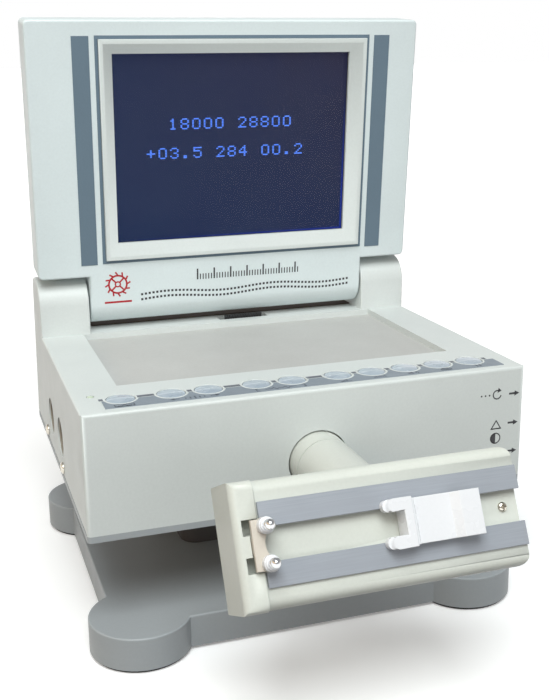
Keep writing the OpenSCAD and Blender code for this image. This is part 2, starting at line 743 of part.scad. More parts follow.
module lid_stripes() {
    front = -lid_front_d - print_t;
    color([0.4, 0.47, 0.53]) lid_at() {
        for (x = [[-78, -69.8], [75.9, 84.3]])
            box(x[0], x[1], front, -lid_front_d, lid_bottom + 6.3, lid_bottom + 117.2);
        difference() {
            box(bezel_l - frame_w, bezel_r + frame_w, front, -lid_front_d,
                bezel_b - frame_w, bezel_t + frame_w);
            box(bezel_l - bezel_fit, bezel_r + bezel_fit, front - 1, -lid_front_d + 1,
                bezel_b - bezel_fit, bezel_t + bezel_fit);
        }
    }
}
module lid_cable() {
    ribs = 14;
    rib = (cable_x1 - cable_x0) / ribs;
    color(dark) for (i = [0:ribs - 1]) translate([cable_x0 + i * rib, 0, 0]) {
        box(0.1, 1.3, 54.5, 55.3, 104, 114.4);
        box(-0.1, 1.5, 54.7, 55.1, 104, 114.2);
    }
}
module lid_screws() {
    color(steel) lid_at() for (x = [-85, 85], z = [30, 128]) translate([x, lid_back_d, z])
        rotate([-90, 0, 0]) pan_screw(2.8, 1.4, screw_r, 6);
}

base_plate();
rubber_pads();
base_weight();
pedestal();
pedestal_screws();
bottom_chassis();
chassis_screws();
upper_shell();
recess_panel();
control_label();
control_button(1);  // button_1
control_button(2);  // button_2
control_button(3);  // button_3
control_button(4);  // button_4
control_button(5);  // button_5
control_button(6);  // button_6
control_button(7);  // button_7
control_button(8);  // button_8
control_button(9);  // button_9
control_button(10);  // button_10
button_board();
indicator_led();
main_board();
speaker();
side_screws();
power_socket();
printer_socket();
reset_button();
thumb_wheel(contrast_z);  // contrast_wheel
thumb_wheel(volume_z);  // volume_wheel
wheel_axles();
switch_frame();
power_rocker();
hinge_pins();
arm_collar();
arm_tube();
arm_retainer();
head_body();
head_back();
end_block();
rail(rail_in);  // rail_upper
rail(-rail_out);  // rail_lower
channel_screw();
tilt_pin();
friction_washers();
pin_bracket();
clamp_pins();
pin_sleeves();
piezo_sensor();
sliding_jaw();
lid_front();
lid_back();
lcd_gasket();
lcd_bezel();
lcd_window();
lcd_module();
lid_stripes();
lid_cable();
lid_screws();
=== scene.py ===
"""Bench timegrapher: the visual model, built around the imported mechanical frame.

The classes below hold their sizes in millimetres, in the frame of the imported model: the origin is
on the desk at the middle of the base, +X is the operator's right, +Y the back and +Z up. Meshes are
made in metres. Each sub-assembly is one class, and each finish is one frozen dataclass.
"""
import json
import logging
import math
from collections.abc import Callable, Iterable, Sequence
from dataclasses import dataclass
from enum import Enum

import bmesh
import bpy
from mathutils import Matrix, Vector

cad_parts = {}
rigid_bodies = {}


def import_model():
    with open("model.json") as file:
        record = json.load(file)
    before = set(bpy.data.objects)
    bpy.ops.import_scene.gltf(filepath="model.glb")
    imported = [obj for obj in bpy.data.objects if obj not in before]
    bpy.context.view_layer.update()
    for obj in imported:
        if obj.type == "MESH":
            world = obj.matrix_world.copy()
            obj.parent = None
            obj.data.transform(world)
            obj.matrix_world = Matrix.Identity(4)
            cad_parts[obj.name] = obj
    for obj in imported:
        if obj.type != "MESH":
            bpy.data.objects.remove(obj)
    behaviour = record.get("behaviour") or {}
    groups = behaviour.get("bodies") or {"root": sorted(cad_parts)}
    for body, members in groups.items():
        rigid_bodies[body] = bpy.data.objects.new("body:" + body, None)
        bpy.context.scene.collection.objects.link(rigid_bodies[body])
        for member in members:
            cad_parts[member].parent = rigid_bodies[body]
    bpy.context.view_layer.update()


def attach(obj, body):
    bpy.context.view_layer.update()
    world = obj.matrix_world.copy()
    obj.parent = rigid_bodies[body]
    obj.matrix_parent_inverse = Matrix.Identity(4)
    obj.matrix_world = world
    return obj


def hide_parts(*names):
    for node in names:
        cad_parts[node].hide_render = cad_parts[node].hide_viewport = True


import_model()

LOG = logging.getLogger("timegrapher")
MM = 0.001
Rgb = tuple[float, float, float]
Point = tuple[float, float]
Spot = tuple[float, float, float]
Outline = list[Point]
SQUARE: Outline = [(-0.5, -0.5), (0.5, -0.5), (0.5, 0.5), (-0.5, 0.5)]


class Body(str, Enum):
    """The bodies that pieces ride on."""

    BASE = "base"
    RESET = "reset"
    CONTRAST = "contrast"
    VOLUME = "volume"
    ROCKER = "rocker"
    ARM = "arm"
    HEAD = "head"
    JAW = "jaw"
    LID = "lid"


def srgb(red: float, green: float, blue: float) -> Rgb:
    """Turn 0-255 display values into linear light.

    Args:
        red: Red, 0 to 255.
        green: Green, 0 to 255.
        blue: Blue, 0 to 255.

    Returns:
        The linear colour.
    """
    def linear(value: float) -> float:
        """Decode one channel."""
        v = value / 255
        return v / 12.92 if v <= 0.04045 else ((v + 0.055) / 1.055) ** 2.4
    return linear(red), linear(green), linear(blue)


def placed(origin: Spot, right: Spot, up: Spot) -> Matrix:
    """Make the matrix of a local frame whose Z axis is right x up.

    Args:
        origin: The frame's origin in millimetres.
        right: The frame's X axis.
        up: The frame's Y axis.

    Returns:
        The frame's matrix, in metres.
    """
    x_axis, y_axis = Vector(right).normalized(), Vector(up).normalized()
    matrix = Matrix((x_axis, y_axis, x_axis.cross(y_axis))).transposed().to_4x4()
    matrix.translation = Vector(origin) * MM
    return matrix


def level(x: float, y: float, z: float = 0.0) -> Matrix:
    """Frame at a point in millimetres, along the machine's own axes."""
    return placed((x, y, z), (1, 0, 0), (0, 1, 0))


def facing(matrix: Matrix, axis: Spot = (0, 0, 1)) -> Spot:
    """Direction, in the machine's frame, of an axis of a local frame."""
    return tuple(matrix.to_3x3() @ Vector(axis))


# ---------------------------------------------------------------------------------------------
# Finishes
# ---------------------------------------------------------------------------------------------


class NodeTree:
    """A node tree of any kind, written as plain calls."""

    def __init__(self, tree: bpy.types.NodeTree) -> None:
        """Take over a tree."""
        self.tree = tree

    def add(self, kind: str, inputs: dict | None = None, **props: object) -> bpy.types.Node:
        """Add a node.

        Args:
            kind: Blender's type name of the node.
            inputs: Socket name or index to a value, or to an output to link.
            **props: The node's own properties.

        Returns:
            The new node.
        """
        node = self.tree.nodes.new(kind)
        for key, value in props.items():
            setattr(node, key, value)
        for key, value in (inputs or {}).items():
            if isinstance(value, bpy.types.NodeSocket):
                self.tree.links.new(value, node.inputs[key])
            else:
                node.inputs[key].default_value = value
        return node


class Graph(NodeTree):
    """The shader tree of a material or of the world."""

    def __init__(self, name: str, world: bool = False) -> None:
        """Start an empty material or world.

        Args:
            name: Its name.
            world: Whether it is a world.
        """
        self.owner = (bpy.data.worlds if world else bpy.data.materials).new(name)
        self.owner.use_nodes = True
        super().__init__(self.owner.node_tree)
        self.tree.nodes.clear()
        self.coords = self.add("ShaderNodeTexCoord").outputs["Generated" if world else "Object"]

    def noise(self, scale: float, detail: float = 2.0, stretch: Spot = (1, 1, 1),
              shift: float = 0.0) -> bpy.types.NodeSocket:
        """Add a noise pattern on the object's own coordinates.

        Args:
            scale: Features per metre.
            detail: Octaves of the noise.
            stretch: Scale of the pattern along each axis.
            shift: Offset, so that two patterns differ.

        Returns:
            The noise value, about 0 to 1.
        """
        place = self.add("ShaderNodeMapping", {
            "Vector": self.coords, "Scale": stretch, "Location": (shift, shift, shift)})
        node = self.add("ShaderNodeTexNoise", {
            "Vector": place.outputs[0], "Scale": scale, "Detail": detail, "Roughness": 0.55})
        return node.outputs["Fac"]

    def math(self, operation: str, *values: object) -> bpy.types.NodeSocket:
        """Add a Math node over values or outputs.

        Args:
            operation: Blender's name of the operation.
            *values: Its one to three arguments.

        Returns:
            The result.
        """
        return self.add("ShaderNodeMath", dict(enumerate(values)), operation=operation).outputs[0]

    def spread(self, value: bpy.types.NodeSocket, low: float, high: float,
               start: float = 0.3, end: float = 0.7,
               how: str = "LINEAR") -> bpy.types.NodeSocket:
        """Map a pattern's usual range onto two numbers.

        Args:
            value: The pattern.
            low: Result at the start of its range.
            high: Result at the end of its range.
            start: Start of the range.
            end: End of the range.
            how: Interpolation between the two numbers.

        Returns:
            The mapped value.
        """
        node = self.add("ShaderNodeMapRange", {
            "Value": value, "From Min": start, "From Max": end, "To Min": low, "To Max": high},
            interpolation_type=how)
        return node.outputs[0]

    def grey(self, tone: bpy.types.NodeSocket) -> bpy.types.NodeSocket:
        """Turn a value into a grey of that brightness."""
        return self.add("ShaderNodeCombineColor", {0: tone, 1: tone, 2: tone}).outputs[0]

    def blend(self, factor: object, first: object, second: object,
              how: str = "MIX") -> bpy.types.NodeSocket:
        """Mix two colours.

        Args:
            factor: Share of the second colour.
            first: First colour or output.
            second: Second colour or output.
            how: Blend type.

        Returns:
            The mixed colour.
        """
        def full(value: object) -> object:
            """Give a plain colour its alpha."""
            return (*value, 1.0) if isinstance(value, tuple) and len(value) == 3 else value
        node = self.add("ShaderNodeMix", {0: factor, 6: full(first), 7: full(second)},
                        data_type="RGBA", blend_type=how)
        return node.outputs[2]

    def bump(self, height: bpy.types.NodeSocket, depth: float) -> bpy.types.NodeSocket:
        """Turn a pattern into surface relief.

        Args:
            height: The pattern.
            depth: Depth of the relief in millimetres.

        Returns:
            The bent normal.
        """
        node = self.add("ShaderNodeBump", {
            "Height": height, "Distance": depth * MM, "Strength": 1.0})
        return node.outputs[0]

    def surface(self, inputs: dict) -> bpy.types.Material:
        """Close the tree with a Principled shader.

        Args:
            inputs: The shader's sockets.

        Returns:
            The finished material.
        """
        shader = self.add("ShaderNodeBsdfPrincipled", inputs)
        self.add("ShaderNodeOutputMaterial", {"Surface": shader.outputs[0]})
        return self.owner


@dataclass(frozen=True)
class MouldedPlastic:
    """Satin moulded housing plastic: fine spark grain, faint clouding and handling marks."""

    name: str
    color: Rgb
    roughness: float = 0.42
    grain: float = 0.5
    depth: float = 0.012
    clouding: float = 0.035
    coat: float = 0.0

    def build(self) -> bpy.types.Material:
        """Make the material.

        Returns:
            The material.
        """
        g = Graph(self.name)
        cloud = g.spread(g.noise(14, 3), 1 - self.clouding, 1 + self.clouding)
        speck = g.spread(g.noise(900, 2, shift=0.3), 1 - self.clouding / 2, 1 + self.clouding / 2)
        tone = g.math("MULTIPLY", cloud, speck)
        color = g.blend(1.0, self.color, g.grey(tone), "MULTIPLY")
        rough = g.spread(g.noise(60, 4, shift=0.7), self.roughness - 0.05, self.roughness + 0.07)
        return g.surface({
            "Base Color": color, "Roughness": rough, "IOR": 1.5, "Coat Weight": self.coat,
            "Coat Roughness": 0.2,
            "Normal": g.bump(g.noise(1 / (self.grain * MM), 2, shift=0.1), self.depth)})


@dataclass(frozen=True)
class PrintedInk:
    """Screen-printed ink or printed film with a slightly uneven coat."""

    name: str
    color: Rgb
    roughness: float = 0.5
    patchy: float = 0.06

    def build(self) -> bpy.types.Material:
        """Make the material.

        Returns:
            The material.
        """
        g = Graph(self.name)
        thin = g.spread(g.noise(2600, 2), 1 - self.patchy, 1 + self.patchy)
        wave = g.spread(g.noise(30, 3, shift=0.4), 1 - self.patchy / 2, 1 + self.patchy / 2)
        tone = g.math("MULTIPLY", thin, wave)
        color = g.blend(1.0, self.color, g.grey(tone), "MULTIPLY")
        rough = g.spread(g.noise(90, 3, shift=0.8), self.roughness - 0.06, self.roughness + 0.06)
        return g.surface({"Base Color": color, "Roughness": rough, "IOR": 1.45,
                          "Normal": g.bump(g.noise(3000, 1, shift=0.2), 0.004)})


@dataclass(frozen=True)
class BrushedMetal:
    """Metal with fine lines along the machine's width."""

    name: str
    color: Rgb
    roughness: float = 0.36
    depth: float = 0.006
    metallic: float = 1.0
    stretch: Spot = (0.02, 1.0, 1.0)

    def build(self) -> bpy.types.Material:
        """Make the material.

        Returns:
            The material.
        """
        g = Graph(self.name)
        lines = g.noise(2400, 3, self.stretch)
        tone = g.spread(lines, 0.95, 1.04)
        color = g.blend(1.0, self.color, g.grey(tone), "MULTIPLY")
        rough = g.spread(g.noise(70, 3, shift=0.5), self.roughness - 0.06, self.roughness + 0.08)
        return g.surface({"Base Color": color, "Metallic": self.metallic, "Roughness": rough,
                          "Normal": g.bump(lines, self.depth)})


@dataclass(frozen=True)
class PlatedMetal:
    """Bright plated or turned metal with hairline scratches."""

    name: str
    color: Rgb
    roughness: float = 0.16

    def build(self) -> bpy.types.Material:
        """Make the material.

        Returns:
            The material.
        """
        g = Graph(self.name)
        haze = g.noise(260, 4, shift=0.2)
        color = g.blend(g.spread(haze, 0.0, 0.3), self.color,
                        tuple(c * 0.72 for c in self.color))
        rough = g.spread(haze, self.roughness - 0.05, self.roughness + 0.12)
        return g.surface({"Base Color": color, "Metallic": 1.0, "Roughness": rough,
                          "Normal": g.bump(g.noise(5200, 2), 0.002)})


@dataclass(frozen=True)
class DarkRubber:
    """Rubber or black engineering plastic with a dusty, pitted skin."""

    name: str
    color: Rgb
    roughness: float = 0.72
    dust: float = 0.2
    depth: float = 0.02

    def build(self) -> bpy.types.Material:
        """Make the material.

        Returns:
            The material.
        """
        g = Graph(self.name)
        dust = g.spread(g.noise(120, 4), 0.0, self.dust, 0.45, 0.75)
        color = g.blend(dust, self.color, (0.2, 0.19, 0.18))
        rough = g.spread(g.noise(300, 2, shift=0.6), self.roughness - 0.08, self.roughness + 0.08)
        return g.surface({"Base Color": color, "Roughness": rough, "IOR": 1.5,
                          "Normal": g.bump(g.noise(2200, 2, shift=0.1), self.depth)})


@dataclass(frozen=True)
class LensPlastic:
    """Translucent tinted plastic of the round keys, with a painted highlight band across the middle
    and painted shade, darker at the front.
    """

    name: str
    color: Rgb
    highlight_band: Rgb
    centre_y: float
    highlight_half_w: float = 0.9

    def build(self) -> bpy.types.Material:
        """Make the material.

        Returns:
            The material.
        """
        g = Graph(self.name)
        y_place = g.add("ShaderNodeSeparateXYZ", {0: g.coords}).outputs[1]
        offset = g.math("ABSOLUTE", g.math("SUBTRACT", y_place, self.centre_y * MM))
        # painted highlight: a paler band across the middle of the dome
        highlight_band = g.spread(offset, 0.75, 0.0, self.highlight_half_w * 0.3 * MM, self.highlight_half_w * MM)
        # painted shade: the key darker at its front and paler towards its back
        shade = g.spread(y_place, 0.0, 0.35, (self.centre_y - 6) * MM, (self.centre_y + 6) * MM)
        body = g.blend(shade, self.color, self.highlight_band)
        color = g.blend(highlight_band, body, self.highlight_band)
        cloudy = g.blend(g.spread(g.noise(420, 3), 0.0, 0.16), color, (0.72, 0.76, 0.8))
        rough = g.spread(g.noise(90, 3, shift=0.3), 0.2, 0.34)
        return g.surface({"Base Color": cloudy, "Roughness": rough, "IOR": 1.49,
                          "Coat Weight": 0.35, "Coat Roughness": 0.12,
                          "Normal": g.bump(g.noise(1500, 1), 0.004)})


@dataclass(frozen=True)
class PaneGlass:
    """Clear protective pane, thin enough to be drawn as a tinted film."""

    name: str
    color: Rgb
    alpha: float = 0.05

    def build(self) -> bpy.types.Material:
        """Make the material.

        Returns:
            The material.
        """
        g = Graph(self.name)
        rough = g.spread(g.noise(45, 4), 0.05, 0.12)
        tint = g.blend(g.spread(g.noise(20, 2, shift=0.3), 0, 0.5), self.color, (0.05, 0.06, 0.1))
        return g.surface({"Base Color": tint, "Roughness": rough, "Alpha": self.alpha,
                          "IOR": 1.45, "Normal": g.bump(g.noise(700, 1), 0.001)})


@dataclass(frozen=True)
class BacklitPanel:
    """Blue graphic display: pixel grid, uneven backlight and a thin leak along two edges."""

    name: str
    hinge: Spot
    lean: float
    left: float
    right: float
    bottom: float
    top: float
    pitch: float = 0.381

    def build(self) -> bpy.types.Material:
        """Make the material.

        Returns:
            The material.
        """
        g = Graph(self.name)
        place = g.add("ShaderNodeMapping", {
            "Vector": g.coords, "Location": tuple(v * MM for v in self.hinge),
            "Rotation": (math.radians(self.lean), 0, 0)}, vector_type="TEXTURE")
        parts = g.add("ShaderNodeSeparateXYZ", {0: place.outputs[0]})
        x, z = parts.outputs[0], parts.outputs[2]
        across = g.spread(x, 0, 1, self.left * MM, self.right * MM)
        down = g.spread(z, 1, 0, self.bottom * MM, self.top * MM)
        base = g.blend(across, srgb(32, 46, 84), srgb(50, 44, 66))
        base = g.blend(g.math("MULTIPLY", down, 0.55), base, srgb(28, 56, 100))
        base = g.blend(g.spread(g.noise(40, 3), 0.0, 0.35), base, srgb(24, 36, 84))
        grid = g.math("MINIMUM", *(g.math("ABSOLUTE", g.math("SUBTRACT", g.math(
            "FRACT", g.math("DIVIDE", axis, self.pitch * MM)), 0.5)) for axis in (x, z)))
        base = g.blend(g.spread(grid, 0.2, 0.0, 0.0, 0.12), base, srgb(16, 22, 46))
        near_right = g.spread(x, 0, 1, (self.right - 0.9) * MM, (self.right - 0.2) * MM)
        near_base = g.spread(z, 1, 0, (self.bottom + 0.2) * MM, (self.bottom + 1.1) * MM)
        low = g.spread(z, 1, 0, (self.bottom + 20) * MM, (self.bottom + 70) * MM)
        leak = g.math("MAXIMUM", g.math("MULTIPLY", near_right, low),
                      g.math("MULTIPLY", near_base, across))
        glow = g.blend(g.math("MULTIPLY", leak, 0.8), base, srgb(34, 62, 190))
        return g.surface({"Base Color": (0.008, 0.01, 0.02, 1), "Roughness": g.spread(
            g.noise(60, 2, shift=0.5), 0.4, 0.5), "IOR": 1.2, "Emission Color": glow,
            "Emission Strength": 0.6, "Normal": g.bump(grid, 0.002)})


@dataclass(frozen=True)
class LitInk:
    """Lit segments of the display."""

    name: str
    color: Rgb
    strength: float = 1.0

    def build(self) -> bpy.types.Material:
        """Make the material.

        Returns:
            The material.
        """
        g = Graph(self.name)
        color = g.blend(g.spread(g.noise(500, 2), 0.0, 0.35), self.color,
                        tuple(c * 0.6 for c in self.color))
        return g.surface({"Base Color": color, "Roughness": 0.5, "Emission Color": color,
                          "Emission Strength": self.strength})


@dataclass(frozen=True)
class CircuitBoard:
    """Solder mask with copper runs showing through."""

    name: str
    color: Rgb

    def build(self) -> bpy.types.Material:
        """Make the material.

        Returns:
            The material.
        """
        g = Graph(self.name)
        cells = g.add("ShaderNodeTexBrick", {
            "Vector": g.coords, "Scale": 160.0, "Mortar Size": 0.06, "Color1": (*self.color, 1),
            "Color2": (*(c * 0.8 for c in self.color), 1), "Mortar": (0.12, 0.36, 0.16, 1)})
        rough = g.spread(g.noise(200, 2), 0.22, 0.36)
        return g.surface({"Base Color": cells.outputs[0], "Roughness": rough,
                          "Normal": g.bump(cells.outputs[1], 0.03)})


class Finishes:
    """Every finish of the machine, made once."""

    def __init__(self) -> None:
        """Build the materials."""
        pale = srgb(208, 213, 211)
        recipes = {
            "cream": MouldedPlastic("cream_plastic", pale),
            "lid": MouldedPlastic("lid_plastic", srgb(215, 225, 226), 0.4),
            "arm": MouldedPlastic("arm_plastic", srgb(200, 203, 196), 0.36, grain=0.4),
            "head": MouldedPlastic("head_plastic", srgb(206, 209, 201), 0.36, depth=0.008),
            "bezel": MouldedPlastic("bezel_plastic", srgb(212, 218, 216), 0.34, depth=0.005),
            "grey": MouldedPlastic("grey_plastic", srgb(157, 162, 165), 0.44),
            # painted shade: the pedestal is made near-black to stand for the deep shade under the
            # housing
            "pedestal_shade": MouldedPlastic("pedestal_plastic", srgb(62, 57, 54), 0.5),
            "recess": MouldedPlastic("recess_film", srgb(186, 186, 183), 0.5, 0.35, 0.01, 0.05),
            "white": MouldedPlastic("white_plastic", srgb(228, 229, 232), 0.28, 0.3, 0.003, 0.02,
                                    coat=0.2),
            "bracket": MouldedPlastic("bracket_plastic", srgb(204, 196, 184), 0.45, 0.4, 0.01),
            "well": MouldedPlastic("socket_plastic", srgb(150, 142, 128), 0.5, 0.4, 0.01),
            "label": PrintedInk("label_film", srgb(132, 141, 150)),
            "stripe": PrintedInk("stripe_film", srgb(96, 115, 129), patchy=0.04),
            "dark_ink": PrintedInk("dark_ink", srgb(52, 52, 56), 0.45),
            "soft_ink": PrintedInk("soft_ink", srgb(84, 90, 99), 0.5),
            "dash_ink": PrintedInk("dash_ink", srgb(104, 108, 116), 0.5),
            "red_ink": PrintedInk("red_ink", srgb(176, 34, 44), 0.42),
            "rail": BrushedMetal("rail_metal", srgb(156, 161, 169), 0.5, 0.004, 0.2),
            "steel": BrushedMetal("steel_plate", srgb(190, 190, 192)),
            "turned": BrushedMetal("turned_steel", srgb(200, 200, 202), 0.28),
            "plated": PlatedMetal("screw_steel", srgb(214, 208, 196)),
            "pin": PlatedMetal("pin_steel", srgb(222, 222, 224), 0.12),
            "brass": PlatedMetal("sensor_brass", srgb(206, 178, 104), 0.24),
            "rubber": DarkRubber("black_rubber", srgb(44, 44, 46)),
            "black": DarkRubber("black_plastic", srgb(40, 41, 43), 0.5, 0.1, 0.008),
            # the keys and the lamp carry a painted highlight band and painted shade, darker at the
            # front
            "key": LensPlastic("button_plastic", srgb(158, 171, 183), srgb(196, 205, 213), -65.1),
            "foam": MouldedPlastic("seal_foam", srgb(74, 62, 54), 0.85, 0.2),
            "led": LensPlastic("led_plastic", srgb(168, 184, 156), srgb(220, 228, 212), -57.8, 0.7),
            "pane": PaneGlass("lcd_glass", srgb(30, 40, 70)),
            "screen": BacklitPanel("lcd_panel", (0, 60.2, 127.5), 5.13,
                                   -58.9, 63.1, 31.7, 124.1),
            "lit": LitInk("lit_ink", srgb(66, 112, 216)),
            "board": CircuitBoard("circuit_board", srgb(22, 92, 52)),
        }
        self.table = {key: recipe.build() for key, recipe in recipes.items()}

    def __getitem__(self, key: str) -> bpy.types.Material:
        """Look a finish up by its short name."""
        return self.table[key]

    def dress(self, key: str, *nodes: str) -> None:
        """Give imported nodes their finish.

        Args:
            key: Short name of the finish.
            *nodes: Names of the nodes.
        """
        for node in nodes:
            piece = bpy.data.objects[node]
            for slot in piece.material_slots:
                slot.material = self.table[key]
            if not piece.material_slots:
                piece.data.materials.append(self.table[key])


# ---------------------------------------------------------------------------------------------
# Making meshes
# ---------------------------------------------------------------------------------------------


def arc(cx: float, cy: float, radius: float, start: float, end: float, steps: int = 8) -> Outline:
    """Points along a circular arc.

    Args:
        cx: Centre, first axis.
        cy: Centre, second axis.
        radius: Radius.
        start: First angle in degrees.
        end: Last angle in degrees.
        steps: Number of chords.

    Returns:
        The points, both ends included.
    """
    turn = [math.radians(start + (end - start) * i / steps) for i in range(steps + 1)]
    return [(cx + radius * math.cos(a), cy + radius * math.sin(a)) for a in turn]


def rounded_box(x0: float, x1: float, y0: float, y1: float, radius: float) -> Outline:
    """Outline of a rectangle with round corners, anticlockwise.

    Args:
        x0: Left side.
        x1: Right side.
        y0: Lower side.
        y1: Upper side.
        radius: Corner radius.

    Returns:
        The outline.
    """
    r = radius
    return (arc(x1 - r, y0 + r, r, -90, 0, 4) + arc(x1 - r, y1 - r, r, 0, 90, 4)
            + arc(x0 + r, y1 - r, r, 90, 180, 4) + arc(x0 + r, y0 + r, r, 180, 270, 4))


def inset(outline: Outline, amount: float) -> Outline:
    """Move every side of an anticlockwise outline inwards.

    Args:
        outline: The outline.
        amount: How far, in millimetres.

    Returns:
        The smaller outline, point for point.
    """
    result = []
    for i, here in enumerate(outline):
        before, after = Vector(outline[i - 1]), Vector(outline[(i + 1) % len(outline)])
        first, second = (Vector(here) - before).normalized(), (after - Vector(here)).normalized()
        n1, n2 = Vector((-first.y, first.x)), Vector((-second.y, second.x))
        mitre = n1 + n2
        mitre = mitre / max(mitre.dot(n1), 0.25)
        result.append((here[0] + mitre.x * amount, here[1] + mitre.y * amount))
    return result


class Shape:
    """A mesh under construction, in millimetres."""

    edge_steps = 2
    ink = (-0.02, 0.06)

    def __init__(self) -> None:
        """Start with nothing."""
        self.bm = bmesh.new()

    def rings(self, loops: Sequence[Sequence[Spot]], place: Matrix, closed: bool = True) -> None:
        """Join loops of equal length into a skin, capped at both ends.

        Args:
            loops: Loops of points, in order; a loop of one point closes the skin in a pole.
            place: Matrix from the loops' frame to the machine's.
            closed: Whether to cap open ends with a face.
        """
        rows = [[self.bm.verts.new(place @ (Vector(p) * MM)) for p in loop] for loop in loops]
        for low, high in zip(rows, rows[1:]):
            count = max(len(low), len(high))
            for i in range(count):
                j = (i + 1) % count
                corners = ([low[i], low[j]] if len(low) > 1 else [low[0]])
                corners += ([high[j], high[i]] if len(high) > 1 else [high[0]])
                self.bm.faces.new(corners)
        if closed:
            for row, flip in ((rows[0], True), (rows[-1], False)):
                if len(row) > 2:
                    self.bm.faces.new(row[::-1] if flip else row)

    def lathe(self, profile: Sequence[Point], place: Matrix, steps: int = 48) -> "Shape":
        """Turn a profile about the local Z axis.

        Args:
            profile: (radius, height) points, from the bottom outwards and up to the top; where
                the last one repeats the first, the body is a ring.
            place: Matrix of the local frame.
            steps: Facets round the axis.

        Returns:
            This shape.
        """
        loops = []
        for radius, height in profile:
            if radius < 1e-6:
                loops.append([(0.0, 0.0, height)])
            else:
                loops.append([(x, y, height) for x, y in arc(0, 0, radius, 0, 360, steps)[:-1]])
        ring = profile[0] == profile[-1]
        self.rings(loops, place, closed=not ring)
        if ring:
            bmesh.ops.remove_doubles(self.bm, verts=self.bm.verts, dist=1e-7)
        return self

    def prism(self, outline: Outline, low: float, high: float, place: Matrix,
              edge: float = 0.0) -> "Shape":
        """Raise an anticlockwise outline along the local Z axis, with a rounded upper edge.

        Args:
            outline: The outline.
            low: Lower height.
            high: Upper height.
            place: Matrix of the local frame.
            edge: Radius of the upper edge.

        Returns:
            This shape.
        """
        loops = [[(x, y, low) for x, y in outline]]
        if edge:
            for i in range(self.edge_steps + 1):
                turn = math.pi / 2 * i / self.edge_steps
                ring = inset(outline, edge * (1 - math.cos(turn)))
                loops.append([(x, y, high - edge + edge * math.sin(turn)) for x, y in ring])
        else:
            loops.append([(x, y, high) for x, y in outline])
        self.rings(loops, place)
        return self

    def print(self, outline: Outline, place: Matrix) -> "Shape":
        """Print a filled outline on a face."""
        return self.prism(outline, *self.ink, place)

    def stroke(self, points: Sequence[Point], width: float, place: Matrix) -> "Shape":
        """Print a line of constant width.

        Args:
            points: The line's points.
            width: Width of the line.
            place: Matrix of the printed face.

        Returns:
            This shape.
        """
        path = [Vector(p) for p in points]
        sides: tuple[list, list] = ([], [])
        for i, here in enumerate(path):
            before = (here - path[i - 1]).normalized() if i else None
            after = (path[i + 1] - here).normalized() if i + 1 < len(path) else None
            first, second = before or after, after or before
            n1, n2 = Vector((-first.y, first.x)), Vector((-second.y, second.x))
            mitre = (n1 + n2) / max((n1 + n2).dot(n1), 0.5)
            sides[0].append(tuple(here - mitre * width / 2))
            sides[1].append(tuple(here + mitre * width / 2))
        return self.print(sides[0] + sides[1][::-1], place)

    def disc(self, cx: float, cy: float, radius: float, place: Matrix, start: float = 0,
             end: float = 360) -> "Shape":
        """Print a filled circle, or a segment of one between two angles."""
        points = arc(cx, cy, radius, start, end, 16)
        return self.print(points[:-1] if end - start >= 360 else points, place)

    def mesh(self, name: str) -> bpy.types.Mesh:
        """Close the construction.

        Args:
            name: Name of the mesh.

        Returns:
            The mesh, with its faces pointing outwards.
        """
        bmesh.ops.recalc_face_normals(self.bm, faces=self.bm.faces)
        mesh = bpy.data.meshes.new(name)
        self.bm.to_mesh(mesh)
        self.bm.free()
        return mesh


def baked(piece: bpy.types.Object, name: str) -> bpy.types.Object:
    """Replace an object that has modifiers with a plain mesh.

    Args:
        piece: The object; it is removed.
        name: Name of the result.

    Returns:
        The plain object, at the origin.
    """
    graph = bpy.context.evaluated_depsgraph_get()
    graph.update()
    mesh = bpy.data.meshes.new_from_object(
        piece.evaluated_get(graph), preserve_all_data_layers=True, depsgraph=graph)
    mesh.name = name
    old = piece.data
    bpy.data.objects.remove(piece)
    if isinstance(old, bpy.types.Mesh) and not old.users:
        bpy.data.meshes.remove(old)
    result = bpy.data.objects.new(name, mesh)
    bpy.context.scene.collection.objects.link(result)
    return result


def smoothed(mesh: bpy.types.Mesh, name: str, angle: float = 32.0) -> bpy.types.Object:
    """Shade a mesh smooth, keep its hard edges, and keep its large faces flat.

    Args:
        mesh: The mesh.
        name: Name of the object.
        angle: Edges sharper than this many degrees stay hard.

    Returns:
        The object.
    """
    mesh.shade_smooth()
    mesh.set_sharp_from_angle(angle=math.radians(angle))
    piece = bpy.data.objects.new(name, mesh)
    bpy.context.scene.collection.objects.link(piece)
    weighting = piece.modifiers.new("even", "WEIGHTED_NORMAL")
    weighting.keep_sharp = True
    weighting.weight = 80
    return baked(piece, name)


def install(piece: bpy.types.Object, body: str, slot: str, *nodes: str) -> bpy.types.Object:
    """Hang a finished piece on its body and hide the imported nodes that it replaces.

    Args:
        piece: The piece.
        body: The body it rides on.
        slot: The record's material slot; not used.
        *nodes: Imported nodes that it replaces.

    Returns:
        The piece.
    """
    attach(piece, body.value if isinstance(body, Body) else body)
    if nodes:
        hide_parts(*nodes)
    LOG.info("%s: %d faces on %s", piece.name, len(piece.data.polygons), body)
    return piece


